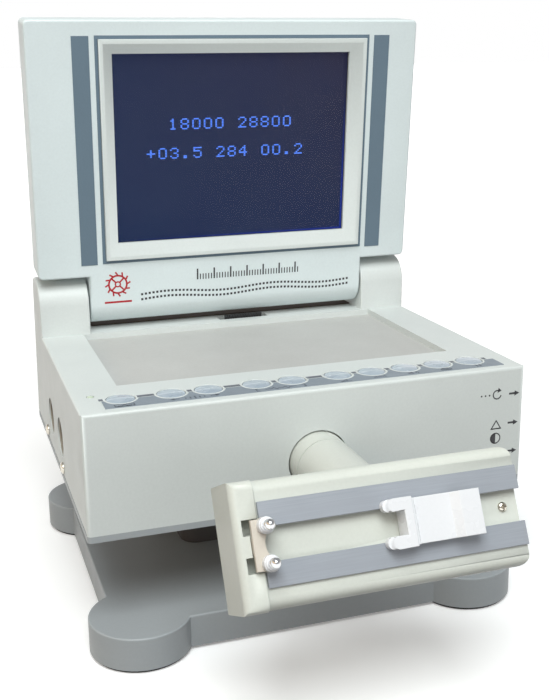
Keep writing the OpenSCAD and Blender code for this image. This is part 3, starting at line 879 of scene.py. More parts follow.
def rounded_copy(node: str, width: float, chosen: Callable[[Vector, Vector], bool],
                 segments: int = 2, least: float = 30.0) -> bpy.types.Mesh:
    """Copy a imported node's mesh and round some of its outer edges.

    Args:
        node: Name of the node.
        width: Width of the rounding in millimetres.
        chosen: Tells from an edge's two ends, in millimetres, whether to round it.
        segments: Facets of the rounding.
        least: Only edges that turn by more than this many degrees are rounded.

    Returns:
        The new mesh.
    """
    bm = bmesh.new()
    bm.from_mesh(bpy.data.objects[node].data)
    bmesh.ops.remove_doubles(bm, verts=bm.verts, dist=3e-6)
    bmesh.ops.dissolve_limit(bm, angle_limit=math.radians(0.4), verts=bm.verts, edges=bm.edges)
    picked = [e for e in bm.edges if e.is_manifold and e.is_convex
              and e.calc_face_angle(0) > math.radians(least)
              and chosen(*(v.co / MM for v in e.verts))]
    if picked:
        bmesh.ops.bevel(bm, geom=picked, offset=width * MM, offset_type="OFFSET",
                        segments=segments, profile=0.5, affect="EDGES", clamp_overlap=False)
    mesh = bpy.data.meshes.new(node + "_visual")
    bm.to_mesh(mesh)
    bm.free()
    return mesh


def painted(mesh: bpy.types.Mesh, name: str, *materials: bpy.types.Material,
            angle: float = 32.0) -> bpy.types.Object:
    """Smooth a mesh and give it its materials.

    Args:
        mesh: The mesh.
        name: Name of the piece.
        *materials: Its materials, in the order of their slots.
        angle: Edges sharper than this many degrees stay hard.

    Returns:
        The piece.
    """
    mesh.materials.clear()
    for material in materials:
        mesh.materials.append(material)
    return smoothed(mesh, name, angle)


# ---------------------------------------------------------------------------------------------
# Geometry Nodes
# ---------------------------------------------------------------------------------------------


class NodeRecipe(NodeTree):
    """A Geometry Nodes tree with named inputs, built and baked by this script."""

    def __init__(self, name: str) -> None:
        """Start a tree.

        Args:
            name: Name of the tree.
        """
        super().__init__(bpy.data.node_groups.new(name, "GeometryNodeTree"))
        self.ids: dict[str, str] = {}
        for way in ("INPUT", "OUTPUT"):
            self.tree.interface.new_socket("Geometry", in_out=way,
                                           socket_type="NodeSocketGeometry")
        self.source = self.tree.nodes.new("NodeGroupInput")

    def size(self, label: str, kind: str = "NodeSocketFloat") -> bpy.types.NodeSocket:
        """Add a named input.

        Args:
            label: Name of the input.
            kind: Its socket type.

        Returns:
            The output that carries it inside the tree.
        """
        item = self.tree.interface.new_socket(label, in_out="INPUT", socket_type=kind)
        self.ids[label] = item.identifier
        return self.source.outputs[label]

    def close(self, geometry: bpy.types.NodeSocket) -> None:
        """End the tree in Realize Instances and Set Material.

        Args:
            geometry: The geometry to give out.
        """
        finish = self.size("Finish", "NodeSocketMaterial")
        real = self.add("GeometryNodeRealizeInstances", {0: geometry})
        dressed = self.add("GeometryNodeSetMaterial", {"Geometry": real.outputs[0],
                                                       "Material": finish})
        self.add("NodeGroupOutput", {0: dressed.outputs[0]})

    def bake(self, host: bpy.types.Mesh, name: str, values: dict) -> bpy.types.Object:
        """Run the tree on a mesh and keep the result as a plain mesh.

        Args:
            host: The mesh that the tree starts from.
            name: Name of the piece.
            values: Input name to value.

        Returns:
            The piece.
        """
        piece = bpy.data.objects.new(name + "_host", host)
        bpy.context.scene.collection.objects.link(piece)
        modifier = piece.modifiers.new("recipe", "NODES")
        modifier.node_group = self.tree
        for label, value in values.items():
            modifier[self.ids[label]] = value
        return baked(piece, name)


def point_mesh(points: Iterable[Spot], outward: Iterable[Spot],
               sizes: Iterable[Spot] | None = None) -> bpy.types.Mesh:
    """Make a mesh of loose points that know their outward direction and size.

    Args:
        points: Places in millimetres.
        outward: Direction of each.
        sizes: Scale of each; 1 when left out.

    Returns:
        The mesh.
    """
    places = [tuple(c * MM for c in p) for p in points]
    mesh = bpy.data.meshes.new("places")
    mesh.from_pydata(places, [], [])
    columns = {"outward": outward, "size": sizes or [(1, 1, 1)] * len(places)}
    for label, rows in columns.items():
        layer = mesh.attributes.new(label, "FLOAT_VECTOR", "POINT")
        for item, row in zip(layer.data, rows):
            item.vector = row
    return mesh


class Scatter(NodeRecipe):
    """Sets one prototype at each of many points, turned outward."""

    def __init__(self) -> None:
        """Build the tree."""
        super().__init__("scatter_recipe")
        prototype = self.size("Prototype", "NodeSocketObject")
        scale = self.size("Scale")
        outward = self.add("GeometryNodeInputNamedAttribute", {"Name": "outward"},
                           data_type="FLOAT_VECTOR")
        size = self.add("GeometryNodeInputNamedAttribute", {"Name": "size"},
                        data_type="FLOAT_VECTOR")
        turn = self.add("FunctionNodeAlignRotationToVector",
                        {"Vector": outward.outputs[0]}, axis="Z")
        info = self.add("GeometryNodeObjectInfo", {"Object": prototype})
        points = self.add("GeometryNodeMeshToPoints", {"Mesh": self.source.outputs["Geometry"]})
        full = self.add("ShaderNodeVectorMath", {0: size.outputs[0], "Scale": scale},
                        operation="SCALE")
        set_out = self.add("GeometryNodeInstanceOnPoints", {
            "Points": points.outputs[0], "Instance": info.outputs["Geometry"],
            "Rotation": turn.outputs[0], "Scale": full.outputs[0]})
        self.close(set_out.outputs[0])

    def place(self, prototype: bpy.types.Mesh, points: bpy.types.Mesh, name: str,
              finish: bpy.types.Material, scale: float = 1.0) -> bpy.types.Object:
        """Scatter a prototype mesh and bake the result.

        Args:
            prototype: Mesh of one item, about the origin.
            points: The points.
            name: Name of the piece.
            finish: Its material.
            scale: Scale of every item.

        Returns:
            The piece.
        """
        model = bpy.data.objects.new("prototype", prototype)
        bpy.context.scene.collection.objects.link(model)
        piece = self.bake(points, name, {"Prototype": model, "Scale": scale, "Finish": finish})
        bpy.data.objects.remove(model)
        bpy.data.meshes.remove(prototype)
        for label in ("outward", "size"):
            if label in piece.data.attributes:
                piece.data.attributes.remove(piece.data.attributes[label])
        piece.data.shade_smooth()
        piece.data.set_sharp_from_angle(angle=math.radians(30))
        return piece


class KnurledRim(NodeRecipe):
    """Sets ridges round the rim of a thumb wheel and joins them to its body."""

    def __init__(self) -> None:
        """Build the tree."""
        super().__init__("knurl_recipe")
        count = self.size("Ridges", "NodeSocketInt")
        radius, width = self.size("Rim radius"), self.size("Ridge width")
        height, centre = self.size("Wheel height"), self.size("Centre", "NodeSocketVector")
        rim = self.add("GeometryNodeMeshCircle", {"Vertices": count, "Radius": radius})
        ridge = self.add("GeometryNodeMeshCylinder", {
            "Vertices": 8, "Radius": width, "Depth": height})
        ridges = self.add("GeometryNodeInstanceOnPoints", {
            "Points": rim.outputs[0], "Instance": ridge.outputs[0]})
        moved = self.add("GeometryNodeTransform", {"Geometry": ridges.outputs[0],
                                                   "Translation": centre})
        joined = self.add("GeometryNodeJoinGeometry", {0: moved.outputs[0]})
        self.tree.links.new(self.source.outputs["Geometry"], joined.inputs[0])
        self.close(joined.outputs[0])


class RibbonCable(NodeRecipe):
    """Lays round conductors side by side along the host's edge path."""

    def __init__(self) -> None:
        """Build the tree."""
        super().__init__("ribbon_recipe")
        strands = self.size("Strands", "NodeSocketInt")
        pitch = self.size("Pitch", "NodeSocketVector")
        radius = self.size("Strand radius")
        path = self.add("GeometryNodeMeshToCurve", {"Mesh": self.source.outputs["Geometry"]})
        circle = self.add("GeometryNodeCurvePrimitiveCircle", {"Resolution": 10,
                                                               "Radius": radius})
        strand = self.add("GeometryNodeCurveToMesh", {
            "Curve": path.outputs[0], "Profile Curve": circle.outputs[0], "Fill Caps": True})
        row = self.add("GeometryNodeMeshLine", {"Count": strands, "Offset": pitch})
        laid = self.add("GeometryNodeInstanceOnPoints", {
            "Points": row.outputs[0], "Instance": strand.outputs[0]})
        self.close(laid.outputs[0])


@dataclass
class CrossScrew:
    """A pan head screw head with a cross recess, about the origin, head along +Z."""

    radius: float = 2.8
    height: float = 1.6
    arm_half_w: float = 0.32
    arm_l: float = 1.55
    depth: float = 0.9
    recess_share: float = 0.93

    def recess_radius(self, angle: float) -> float:
        """Distance from the axis to the outline of the cross.

        Args:
            angle: Direction from the axis, in radians.

        Returns:
            The distance.
        """
        c, s = abs(math.cos(angle)) + 1e-9, abs(math.sin(angle)) + 1e-9
        flat = min(self.arm_l / c, self.arm_half_w / s)
        tall = min(self.arm_half_w / c, self.arm_l / s)
        return max(flat, tall)

    def mesh(self) -> bpy.types.Mesh:
        """Make the head.

        Returns:
            The mesh of one head.
        """
        tip = math.degrees(math.atan(self.arm_half_w / self.arm_l))
        quarter = [0, tip, 22, 45, 68, 90 - tip]
        angles = [math.radians(a + 90 * k) for k in range(4) for a in quarter]

        def ring(radii: Sequence[float], z: float) -> list[Spot]:
            """One ring of points."""
            return [(r * math.cos(a), r * math.sin(a), z) for r, a in zip(radii, angles)]

        def dome(share: float) -> tuple[float, float]:
            """Radius and height of the domed head at a share of its quarter turn."""
            turn = math.pi / 2 * share
            return (self.radius * math.cos(turn),
                    self.height * 0.25 + self.height * 0.75 * math.sin(turn))

        cross = [self.recess_radius(a) for a in angles]
        rim = self.height * self.recess_share
        loops = [ring([self.radius * 0.92] * 24, -0.05), ring([self.radius] * 24, 0.1)]
        for share in (0, 0.15, 0.32, 0.5):
            r, z = dome(share)
            loops.append(ring([r] * 24, z))
        loops.append(ring([max(c + 0.1, self.radius * 0.5) if c < 1.3 else c + 0.1
                           for c in cross], rim))
        loops.append(ring(cross, rim))
        loops.append(ring([c * 0.8 for c in cross], rim - self.depth))
        loops.append([(0.0, 0.0, rim - self.depth - 0.15)])
        shape = Shape()
        shape.rings(loops, Matrix())
        return shape.mesh("cross_screw")


# ---------------------------------------------------------------------------------------------
# Frames shared by the sub-assemblies
# ---------------------------------------------------------------------------------------------


class LeaningFrame:
    """A local frame that stands at an angle; its subclasses say where."""

    def local(self, point: Vector) -> Vector:
        """Turn a machine point in millimetres into this frame."""
        return (self.matrix().inverted() @ (point * MM)) / MM

    def world(self, spot: Spot) -> Spot:
        """Turn a point of this frame into a machine point in millimetres."""
        return tuple((self.matrix() @ (Vector(spot) * MM)) / MM)


@dataclass(frozen=True)
class HingeFrame(LeaningFrame):
    """Where the lid stands: its hinge axis, lean and front face."""

    hinge_y: float = 60.2
    hinge_z: float = 127.5
    lean: float = 5.13
    front: float = 11.57
    back: float = 9.93

    def matrix(self) -> Matrix:
        """Frame with X along the hinge, Y through the lid and Z up the lid."""
        return (Matrix.Translation(Vector((0, self.hinge_y, self.hinge_z)) * MM)
                @ Matrix.Rotation(math.radians(self.lean), 4, "X"))

    def face(self, depth: float | None = None) -> Matrix:
        """Frame on the lid's front with X right, Y up the lid and Z out of it."""
        depth = -self.front if depth is None else depth
        return self.matrix() @ placed((0, depth, 0), (1, 0, 0), (0, 0, 1))


@dataclass(frozen=True)
class HeadFrame(LeaningFrame):
    """Where the sensor head stands: X along the rails, Y across them and Z out of its face."""

    x: float = 0.4
    pivot_y: float = -150.6
    pivot_z: float = 80.2
    lean: float = 26.5
    face_d: float = 11.4

    def matrix(self) -> Matrix:
        """Frame with X along the rails and Z out of the head's face.

        Returns:
            The frame's matrix, in metres.
        """
        s, c = math.sin(math.radians(self.lean)), math.cos(math.radians(self.lean))
        origin = (self.x, self.pivot_y - c * self.face_d, self.pivot_z + s * self.face_d)
        return placed(origin, (1, 0, 0), (0, s, c))


LID = HingeFrame()
HEAD = HeadFrame()


# ---------------------------------------------------------------------------------------------
# Sub-assemblies
# ---------------------------------------------------------------------------------------------


@dataclass
class BaseUnit:
    """The heavy base with its round lobes, pads, ballast and pedestal."""

    lobe_x: float = 78.0
    lobe_y: float = 69.8
    pad_r: float = 21.6
    centre_pad_r: float = 9.0
    pad_h: float = 1.5
    top: float = 16.3

    def pads(self, finish: bpy.types.Material) -> bpy.types.Object:
        """Turned rubber pads with a grip groove.

        Args:
            finish: Material of the pads.

        Returns:
            The piece.
        """
        shape = Shape()
        places = [(x, y, self.pad_r) for x in (-self.lobe_x, self.lobe_x)
                  for y in (-self.lobe_y, self.lobe_y)] + [(0, 0, self.centre_pad_r)]
        for x, y, r in places:
            shape.lathe([(0, 0), (r * 0.7, 0), (r * 0.72, 0.5), (r * 0.8, 0.5), (r * 0.82, 0),
                         (r - 0.5, 0), (r, 0.5), (r, self.pad_h), (0, self.pad_h)],
                        level(x, y))
        return painted(shape.mesh("desk_pads"), "desk_pads", finish)

    def casting(self, finish: bpy.types.Material) -> bpy.types.Object:
        """The base plate with its rounded upper edge.

        Args:
            finish: Material of the base.

        Returns:
            The piece.
        """
        mesh = rounded_copy("base_plate", 0.7, lambda a, b: min(a.z, b.z) > self.top - 0.05
                            and max(abs(a.x), abs(a.y)) > 70, 4)
        return painted(mesh, "base_casting", finish)

    def build(self, looks: Finishes) -> None:
        """Make and dress the base.

        Args:
            looks: The finishes.
        """
        install(self.casting(looks["grey"]), Body.BASE, "grey_plastic", "base_plate")
        install(self.pads(looks["rubber"]), Body.BASE, "black_rubber", "rubber_pads")
        looks.dress("steel", "base_weight")
        # painted shade: the pedestal's near-black finish stands for the shade under the housing
        looks.dress("pedestal_shade", "pedestal")


@dataclass
class Housing:
    """The wedge housing with its hinge towers, side sockets and printed front marks."""

    half_w: float = 100.0
    front_y: float = -81.3
    top: float = 112.3
    tower_in: float = 75.0
    well_depth: float = 9.4
    cable_x: float = -1.25
    cable_y: float = 54.9
    cable_heights: tuple[float, ...] = (104.0, 108.0, 112.0, 114.3)
    strands: int = 14
    strand_pitch: float = 1.5
    strand_r: float = 0.76
    # box and height of the painted shade strip on the deck under the lid's barrel
    shade_strip_box: tuple[float, float, float, float] = (-74.6, 74.6, 63.6, 76.5)
    shade_strip_h: float = 0.5
    sockets: tuple[Point, ...] = ((26.4, 77.6), (-7.2, 78.2))
    socket_reach: float = 9.6
    screw_reach: float = 2.2
    slots_y: float = -57.0
    slots_z: tuple[float, float] = (66.0, 104.0)
    side_screws: tuple[Point, ...] = ((-11.3, 64.4), (45.3, 64.4))
    boss_places: tuple[Point, ...] = ((-35, -3), (-35, 59), (35, -3), (35, 59))

    def outer_edge(self, a: Vector, b: Vector) -> bool:
        """Tell whether an edge lies on one of the shell's outer side planes or a tower's top.

        Args:
            a: One end, in millimetres.
            b: The other end.

        Returns:
            Whether to round the edge.
        """
        side = min(abs(a.x), abs(b.x)) > self.half_w - 0.05
        inner = all(abs(abs(p.x) - self.tower_in) < 0.05 and p.z > self.top - 0.1 for p in (a, b))
        def near(places: Iterable[Point], reach: float) -> bool:
            """Whether either end is near one of some places of the side walls."""
            return any(abs(p.y - y) < reach and abs(p.z - z) < reach
                       for p in (a, b) for y, z in places)

        slots = a.x > 0 and a.y < self.slots_y and self.slots_z[0] < a.z < self.slots_z[1]
        holes = near(self.sockets, self.socket_reach) or near(self.side_screws, self.screw_reach)
        return (side or inner) and not (holes or side and slots)

    def shell(self, finish: bpy.types.Material) -> bpy.types.Object:
        """The upper shell with softened outer edges."""
        return painted(rounded_copy("upper_shell", 0.8, self.outer_edge, 3), "housing_shell",
                       finish)

    def socket(self, node: str, name: str, looks: Finishes) -> bpy.types.Object:
        """One round socket of the left wall: a plain well with a dark contact face.

        Args:
            node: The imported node.
            name: Name of the piece.
            looks: The finishes.

        Returns:
            The piece.
        """
        def mouth(a: Vector, b: Vector) -> bool:
            """Edges of the well's mouth."""
            return max(a.x, b.x) < 0.7 - self.half_w

        mesh = rounded_copy(node, 0.35, mouth, 2)
        piece = painted(mesh, name, looks["well"], looks["black"])
        deep = (self.well_depth - self.half_w) * MM
        for face in piece.data.polygons:
            face.material_index = int(face.center.x > deep)
        return piece

    def screws(self, scatter: Scatter, finish: bpy.types.Material) -> bpy.types.Object:
        """Every screw of the base body, as one piece.

        Args:
            scatter: The scatter recipe.
            finish: Material of the screws.

        Returns:
            The piece.
        """
        points, outward = [], []
        for side in (-1, 1):
            for y, z in self.side_screws:
                points.append((side * self.half_w, y, z))
                outward.append((side, 0, 0))
        for x, y in self.boss_places:
            points += [(x, y, 12.8), (x, y, 60.1)]
            outward += [(0, 0, -1), (0, 0, 1)]
        return scatter.place(CrossScrew().mesh(), point_mesh(points, outward), "housing_screws",
                             finish)

    def front_marks(self, finish: bpy.types.Material) -> bpy.types.Object:
        """Printed arrows and pictograms for the side controls.

        Args:
            finish: The ink.

        Returns:
            The piece.
        """
        face = placed((0, self.front_y, 0), (1, 0, 0), (0, 0, 1))
        shape = Shape()
        for z in (100.0, 86.1, 72.4):
            shape.stroke([(92.4, z), (95.6, z)], 0.9, face)
            shape.print([(95.2, z - 1.25), (97.6, z), (95.2, z + 1.25)], face)
        shape.stroke(arc(86.3, 100.2, 2.0, 60, 350, 20), 0.55, face)
        shape.print([(86.4, 101.0), (88.4, 101.9), (86.9, 103.4)], face)
        for x in (78.4, 80.4, 82.4):
            shape.disc(x, 100.2, 0.42, face)
        shape.stroke([(84.0, 84.0), (88.8, 84.0), (86.4, 87.8), (84.0, 84.0), (88.8, 84.0)],
                     0.5, face)
        shape.stroke(arc(86.3, 79.4, 2.4, 0, 360, 28), 0.5, face)
        shape.disc(86.3, 79.4, 2.4, face, 90, 270)
        shape.print([(83.9, 71.7), (85.1, 71.7), (86.6, 70.4), (86.6, 74.4), (85.1, 73.1),
                     (83.9, 73.1)], face)
        for r in (1.4, 2.6):
            shape.stroke(arc(86.8, 72.4, r, -42, 42, 8), 0.45, face)
        return painted(shape.mesh("front_marks"), "front_marks", finish)

    def shade_strip(self, finish: bpy.types.Material) -> bpy.types.Object:
        """A thin dark strip on the deck under the lid's barrel, painted shade for the dark gap
        there.

        Args:
            finish: Its material.

        Returns:
            The piece.
        """
        outline = rounded_box(*self.shade_strip_box, 0.4)
        shape = Shape().prism(outline, 0.0, self.shade_strip_h, level(0, 0, self.top), 0.1)
        return painted(shape.mesh("hinge_seal"), "hinge_seal", finish)

    def cable(self, finish: bpy.types.Material) -> bpy.types.Object:
        """The ribbed cable that rises from the slot to the lid.

        Args:
            finish: Its material.

        Returns:
            The piece.
        """
        path = bpy.data.meshes.new("cable_path")
        places = [(self.cable_x, self.cable_y, z) for z in self.cable_heights]
        path.from_pydata([tuple(c * MM for c in p) for p in places], [(0, 1), (1, 2), (2, 3)], [])
        piece = RibbonCable().bake(path, "lid_ribbon", {
            "Strands": self.strands, "Pitch": (self.strand_pitch * MM, 0, 0),
            "Strand radius": self.strand_r * MM, "Finish": finish})
        for vertex in piece.data.vertices:
            vertex.co.y = (self.cable_y * MM + vertex.co.y) / 2
        piece.data.shade_smooth()
        return piece

    def build(self, looks: Finishes, scatter: Scatter) -> None:
        """Make and dress the housing.

        Args:
            looks: The finishes.
            scatter: The scatter recipe.
        """
        install(self.shell(looks["cream"]), Body.BASE, "cream_plastic", "upper_shell")
        for node in ("power_socket", "printer_socket"):
            install(self.socket(node, node.replace("socket", "inlet"), looks), Body.BASE,
                    "black_plastic", node)
        install(self.screws(scatter, looks["plated"]), Body.BASE, "screw_steel",
                "side_screws", "pedestal_screws", "chassis_screws")
        install(self.front_marks(looks["dark_ink"]), Body.BASE, "label_film")
        install(self.cable(looks["black"]), Body.BASE, "black_plastic", "lid_cable")
        # painted shade: a dark strip for the shaded gap under the lid's barrel
        install(self.shade_strip(looks["foam"]), Body.BASE, "black_plastic")
        looks.dress("grey", "bottom_chassis")
        looks.dress("recess", "recess_panel")
        looks.dress("board", "main_board", "button_board")
        looks.dress("black", "speaker")
        looks.dress("turned", "hinge_pins", "wheel_axles")


@dataclass
class ControlStrip:
    """The row of ten round keys with its label, marks and indicator."""

    key_r: float = 6.0
    ring_r: float = 7.05
    key_y: float = -65.1
    pitch: float = 16.2
    gap: float = 5.1
    first_x: float = -80.8
    top: float = 112.3
    label_top: float = 112.55
    led: Point = (-92.2, -57.8)
    end_dash: float = 8.1
    dash_lift: float = 1.2
    dash_w: float = 2.5
    breaks: tuple[int, ...] = (1, 3, 5)

    def key_x(self, index: int) -> float:
        """Place of a key along the row.

        Args:
            index: Number of the key, from 1.

        Returns:
            Its X place.
        """
        return self.first_x + (index - 1) * self.pitch + self.gap * sum(
            index > b for b in self.breaks)

    def key(self, index: int, finish: bpy.types.Material) -> bpy.types.Object:
        """One domed key with its stem and flange.

        Args:
            index: Number of the key.
            finish: Its material.

        Returns:
            The piece.
        """
        r, crown = self.key_r, 45.0
        flange = self.top - 3.1
        dome = [(x, self.top + 0.5 - crown + math.sqrt(crown * crown - x * x))
                for x in (r - 0.25, r * 0.8, r * 0.6, r * 0.4, r * 0.2)]
        profile = [(0, 104.5), (2, 104.5), (2, flange - 1.2), (r + 1.2, flange - 1.2),
                   (r + 1.2, flange), (r, flange), (r, dome[0][1] - 0.3),
                   (r - 0.08, dome[0][1] - 0.1), *dome, (0, self.top + 0.5)]
        shape = Shape().lathe(profile, level(self.key_x(index), self.key_y), 56)
        name = f"key_cap_{index}"
        return painted(shape.mesh(name), name, finish, angle=40)

    def collars(self, scatter: Scatter, finish: bpy.types.Material) -> bpy.types.Object:
        """Raised rings round the keys.

        Args:
            scatter: The scatter recipe.
            finish: Material of the rings.

        Returns:
            The piece.
        """
        r = self.ring_r
        ring = Shape()
        ring.lathe([(r - 0.85, -0.5), (r, -0.5), (r, 0.1), (r - 0.12, 0.2), (r - 0.3, 0.25),
                    (r - 0.62, 0.25), (r - 0.78, 0.2), (r - 0.85, 0.08), (r - 0.85, -0.5)],
                   Matrix(), 56)
        spots = [(self.key_x(i), self.key_y, self.top) for i in range(1, 11)]
        return scatter.place(ring.mesh("key_collar"), point_mesh(spots, [(0, 0, 1)] * 10),
                             "key_collars", finish)

    def dashes(self, scatter: Scatter, finish: bpy.types.Material) -> bpy.types.Object:
        """Printed dashes between the keys: long between groups, short within one.

        Args:
            scatter: The scatter recipe.
            finish: The ink.

        Returns:
            The piece.
        """
        spots, sizes = [], []
        reach = 2 * self.ring_r
        y = self.key_y + self.dash_lift
        for i in range(1, 10):
            left, right = self.key_x(i), self.key_x(i + 1)
            spots.append(((left + right) / 2, y, self.top))
            sizes.append((right - left - reach, self.dash_w, 1))
        for x in (self.key_x(1) - self.end_dash, self.key_x(10) + self.end_dash):
            spots.append((x, y, self.top))
            sizes.append((1.8, self.dash_w, 1))
        dash = Shape().prism(SQUARE, -0.03, 0.07, Matrix())
        return scatter.place(dash.mesh("dash"), point_mesh(spots, [(0, 0, 1)] * 11, sizes),
                             "key_dashes", finish)

    def icons(self, finish: bpy.types.Material) -> bpy.types.Object:
        """Plain pictograms on the label, one for each key or pair of keys.

        Args:
            finish: The ink.

        Returns:
            The piece.
        """
        face = level(0, 0, self.label_top)
        shape = Shape()
        y, w = -74.1, 0.42
        x = self.key_x(1)
        shape.stroke([(x - 4, y - 1.3), (x + 4, y - 1.3), (x + 4, y + 1.3), (x - 4, y + 1.3),
                      (x - 4, y - 1.3), (x + 4, y - 1.3)], w, face)
        shape.stroke([(x - 2.8, y - 0.5), (x - 1, y - 0.5), (x, y + 0.7), (x + 1, y - 0.6),
                      (x + 2.8, y - 0.6)], w, face)
        x0, x1 = self.key_x(2), self.key_x(3)
        for tip, tail in ((x0 - 2.5, x0 + 1.5), (x1 + 2.5, x1 - 1.5)):
            way = 1 if tip > tail else -1
            shape.stroke([(tail, y), (tip - way, y)][::way], 0.6, face)
            head = [(tip - way * 1.8, y - 1.1), (tip, y), (tip - way * 1.8, y + 1.1)]
            shape.print(head if way > 0 else head[::-1], face)
        middle = (x0 + x1) / 2
        for k in range(5):
            tall = 0.6 + 0.55 * (2 - abs(k - 2))
            x = middle - 4 + 2 * k
            shape.stroke([(x, y - tall), (x, y + tall)], 0.6, face)
        x0, x1 = self.key_x(4), self.key_x(5)
        for x, way in ((x0 - 2.8, 1), (x1 + 2.8, -1)):
            shape.stroke([(x + way, y - 1.5), (x, y - 1.5), (x, y + 1.5), (x + way, y + 1.5)],
                         # painted shade: a dark brown strip for the shaded gap under the lid's
                         # barrel
                         0.5, face)
        middle = (x0 + x1) / 2
        shape.stroke([(middle + step, y + lift) for step, lift in (
            (-7, 0), (-4, 0), (-3, 1.2), (-2, -1.2), (-1, 0), (1, 0), (2, 1.2), (3, -1.2), (4, 0),
            (7, 0))], w, face)
        x = self.key_x(6)
        shape.stroke([(x - 2.6, y - 1.3), (x + 2.6, y - 1.3)], w, face)
        shape.stroke([(x - 2.2, y - 1.3), (x + 1.6, y + 1.4)], w, face)
        shape.stroke(arc(x - 2.2, y - 1.3, 3.0, 2, 33, 5), w, face)
        x = self.key_x(7)
        for k in range(6):
            shape.stroke([(x - 2.5 + k, y - 1.2), (x - 2.5 + k, y + (1.3 if k % 2 else 0.3))],
                         0.4, face)
        x = self.key_x(8)
        shape.print([(x - 2.4, y - 0.6), (x - 1.4, y - 0.6), (x - 0.2, y - 1.5),
                     (x - 0.2, y + 1.5), (x - 1.4, y + 0.6), (x - 2.4, y + 0.6)], face)
        for r in (1.2, 2.2):
            shape.stroke(arc(x + 0.2, y, r, -40, 40, 6), w, face)
        x = self.key_x(9)
        shape.stroke([(x - 2.4, y - 0.9), (x + 2.4, y - 0.9), (x + 2.4, y + 0.5),
                      (x - 2.4, y + 0.5), (x - 2.4, y - 0.9), (x + 2.4, y - 0.9)], w, face)
        shape.stroke([(x - 1.4, y + 0.6), (x - 1.4, y + 1.6), (x + 1.4, y + 1.6),
                      (x + 1.4, y + 0.6)], w, face)
        x = self.key_x(10)
        for off in (-0.8, 0.8):
            shape.stroke([(x + off, y - 1.3), (x + off, y + 1.3)], 0.7, face)
        return painted(shape.mesh("label_icons"), "label_icons", finish)

    def indicator(self, finish: bpy.types.Material) -> bpy.types.Object:
        """The small domed lamp beside the keys.

        Args:
            finish: Its material.

        Returns:
            The piece.
        """
        x, y = self.led
        profile = [(0, 103.1), (1.5, 103.1), (1.5, 104.6), (1.6, 104.6), (1.6, 111.5),
                   (1.5, 112.1), (1.2, 112.45), (0.7, 112.65), (0, 112.7)]
        shape = Shape().lathe(profile, level(x, y), 32)
        return painted(shape.mesh("indicator_lens"), "indicator_lens", finish, angle=40)

    def build(self, looks: Finishes, scatter: Scatter) -> None:
        """Make and dress the strip.

        Args:
            looks: The finishes.
            scatter: The scatter recipe.
        """
        for index in range(1, 11):
            install(self.key(index, looks["key"]), f"key_{index}", "button_plastic",
                    f"button_{index}")
        install(self.collars(scatter, looks["cream"]), Body.BASE, "cream_plastic")
        install(self.dashes(scatter, looks["dash_ink"]), Body.BASE, "label_film")
        install(self.icons(looks["soft_ink"]), Body.BASE, "label_film")
        install(self.indicator(looks["led"]), Body.BASE, "led_plastic", "indicator_led")
        looks.dress("label", "control_label")


DOTS = {
    "0": "01110 10001 10001 10001 10001 10001 01110",
    "1": "00100 01100 00100 00100 00100 00100 01110",
    "2": "01110 10001 00001 00010 00100 01000 11111",
    "3": "01110 10001 00001 00110 00001 10001 01110",
    "4": "00010 00110 01010 10010 11111 00010 00010",
    "5": "11111 10000 11110 00001 00001 10001 01110",
    "6": "00110 01000 10000 11110 10001 10001 01110",
    "8": "01110 10001 10001 01110 10001 10001 01110",
    "+": "00000 00100 00100 11111 00100 00100 00000",
    ".": "00000 00000 00000 00000 00000 01100 01100",
    " ": "00000 00000 00000 00000 00000 00000 00000",
}


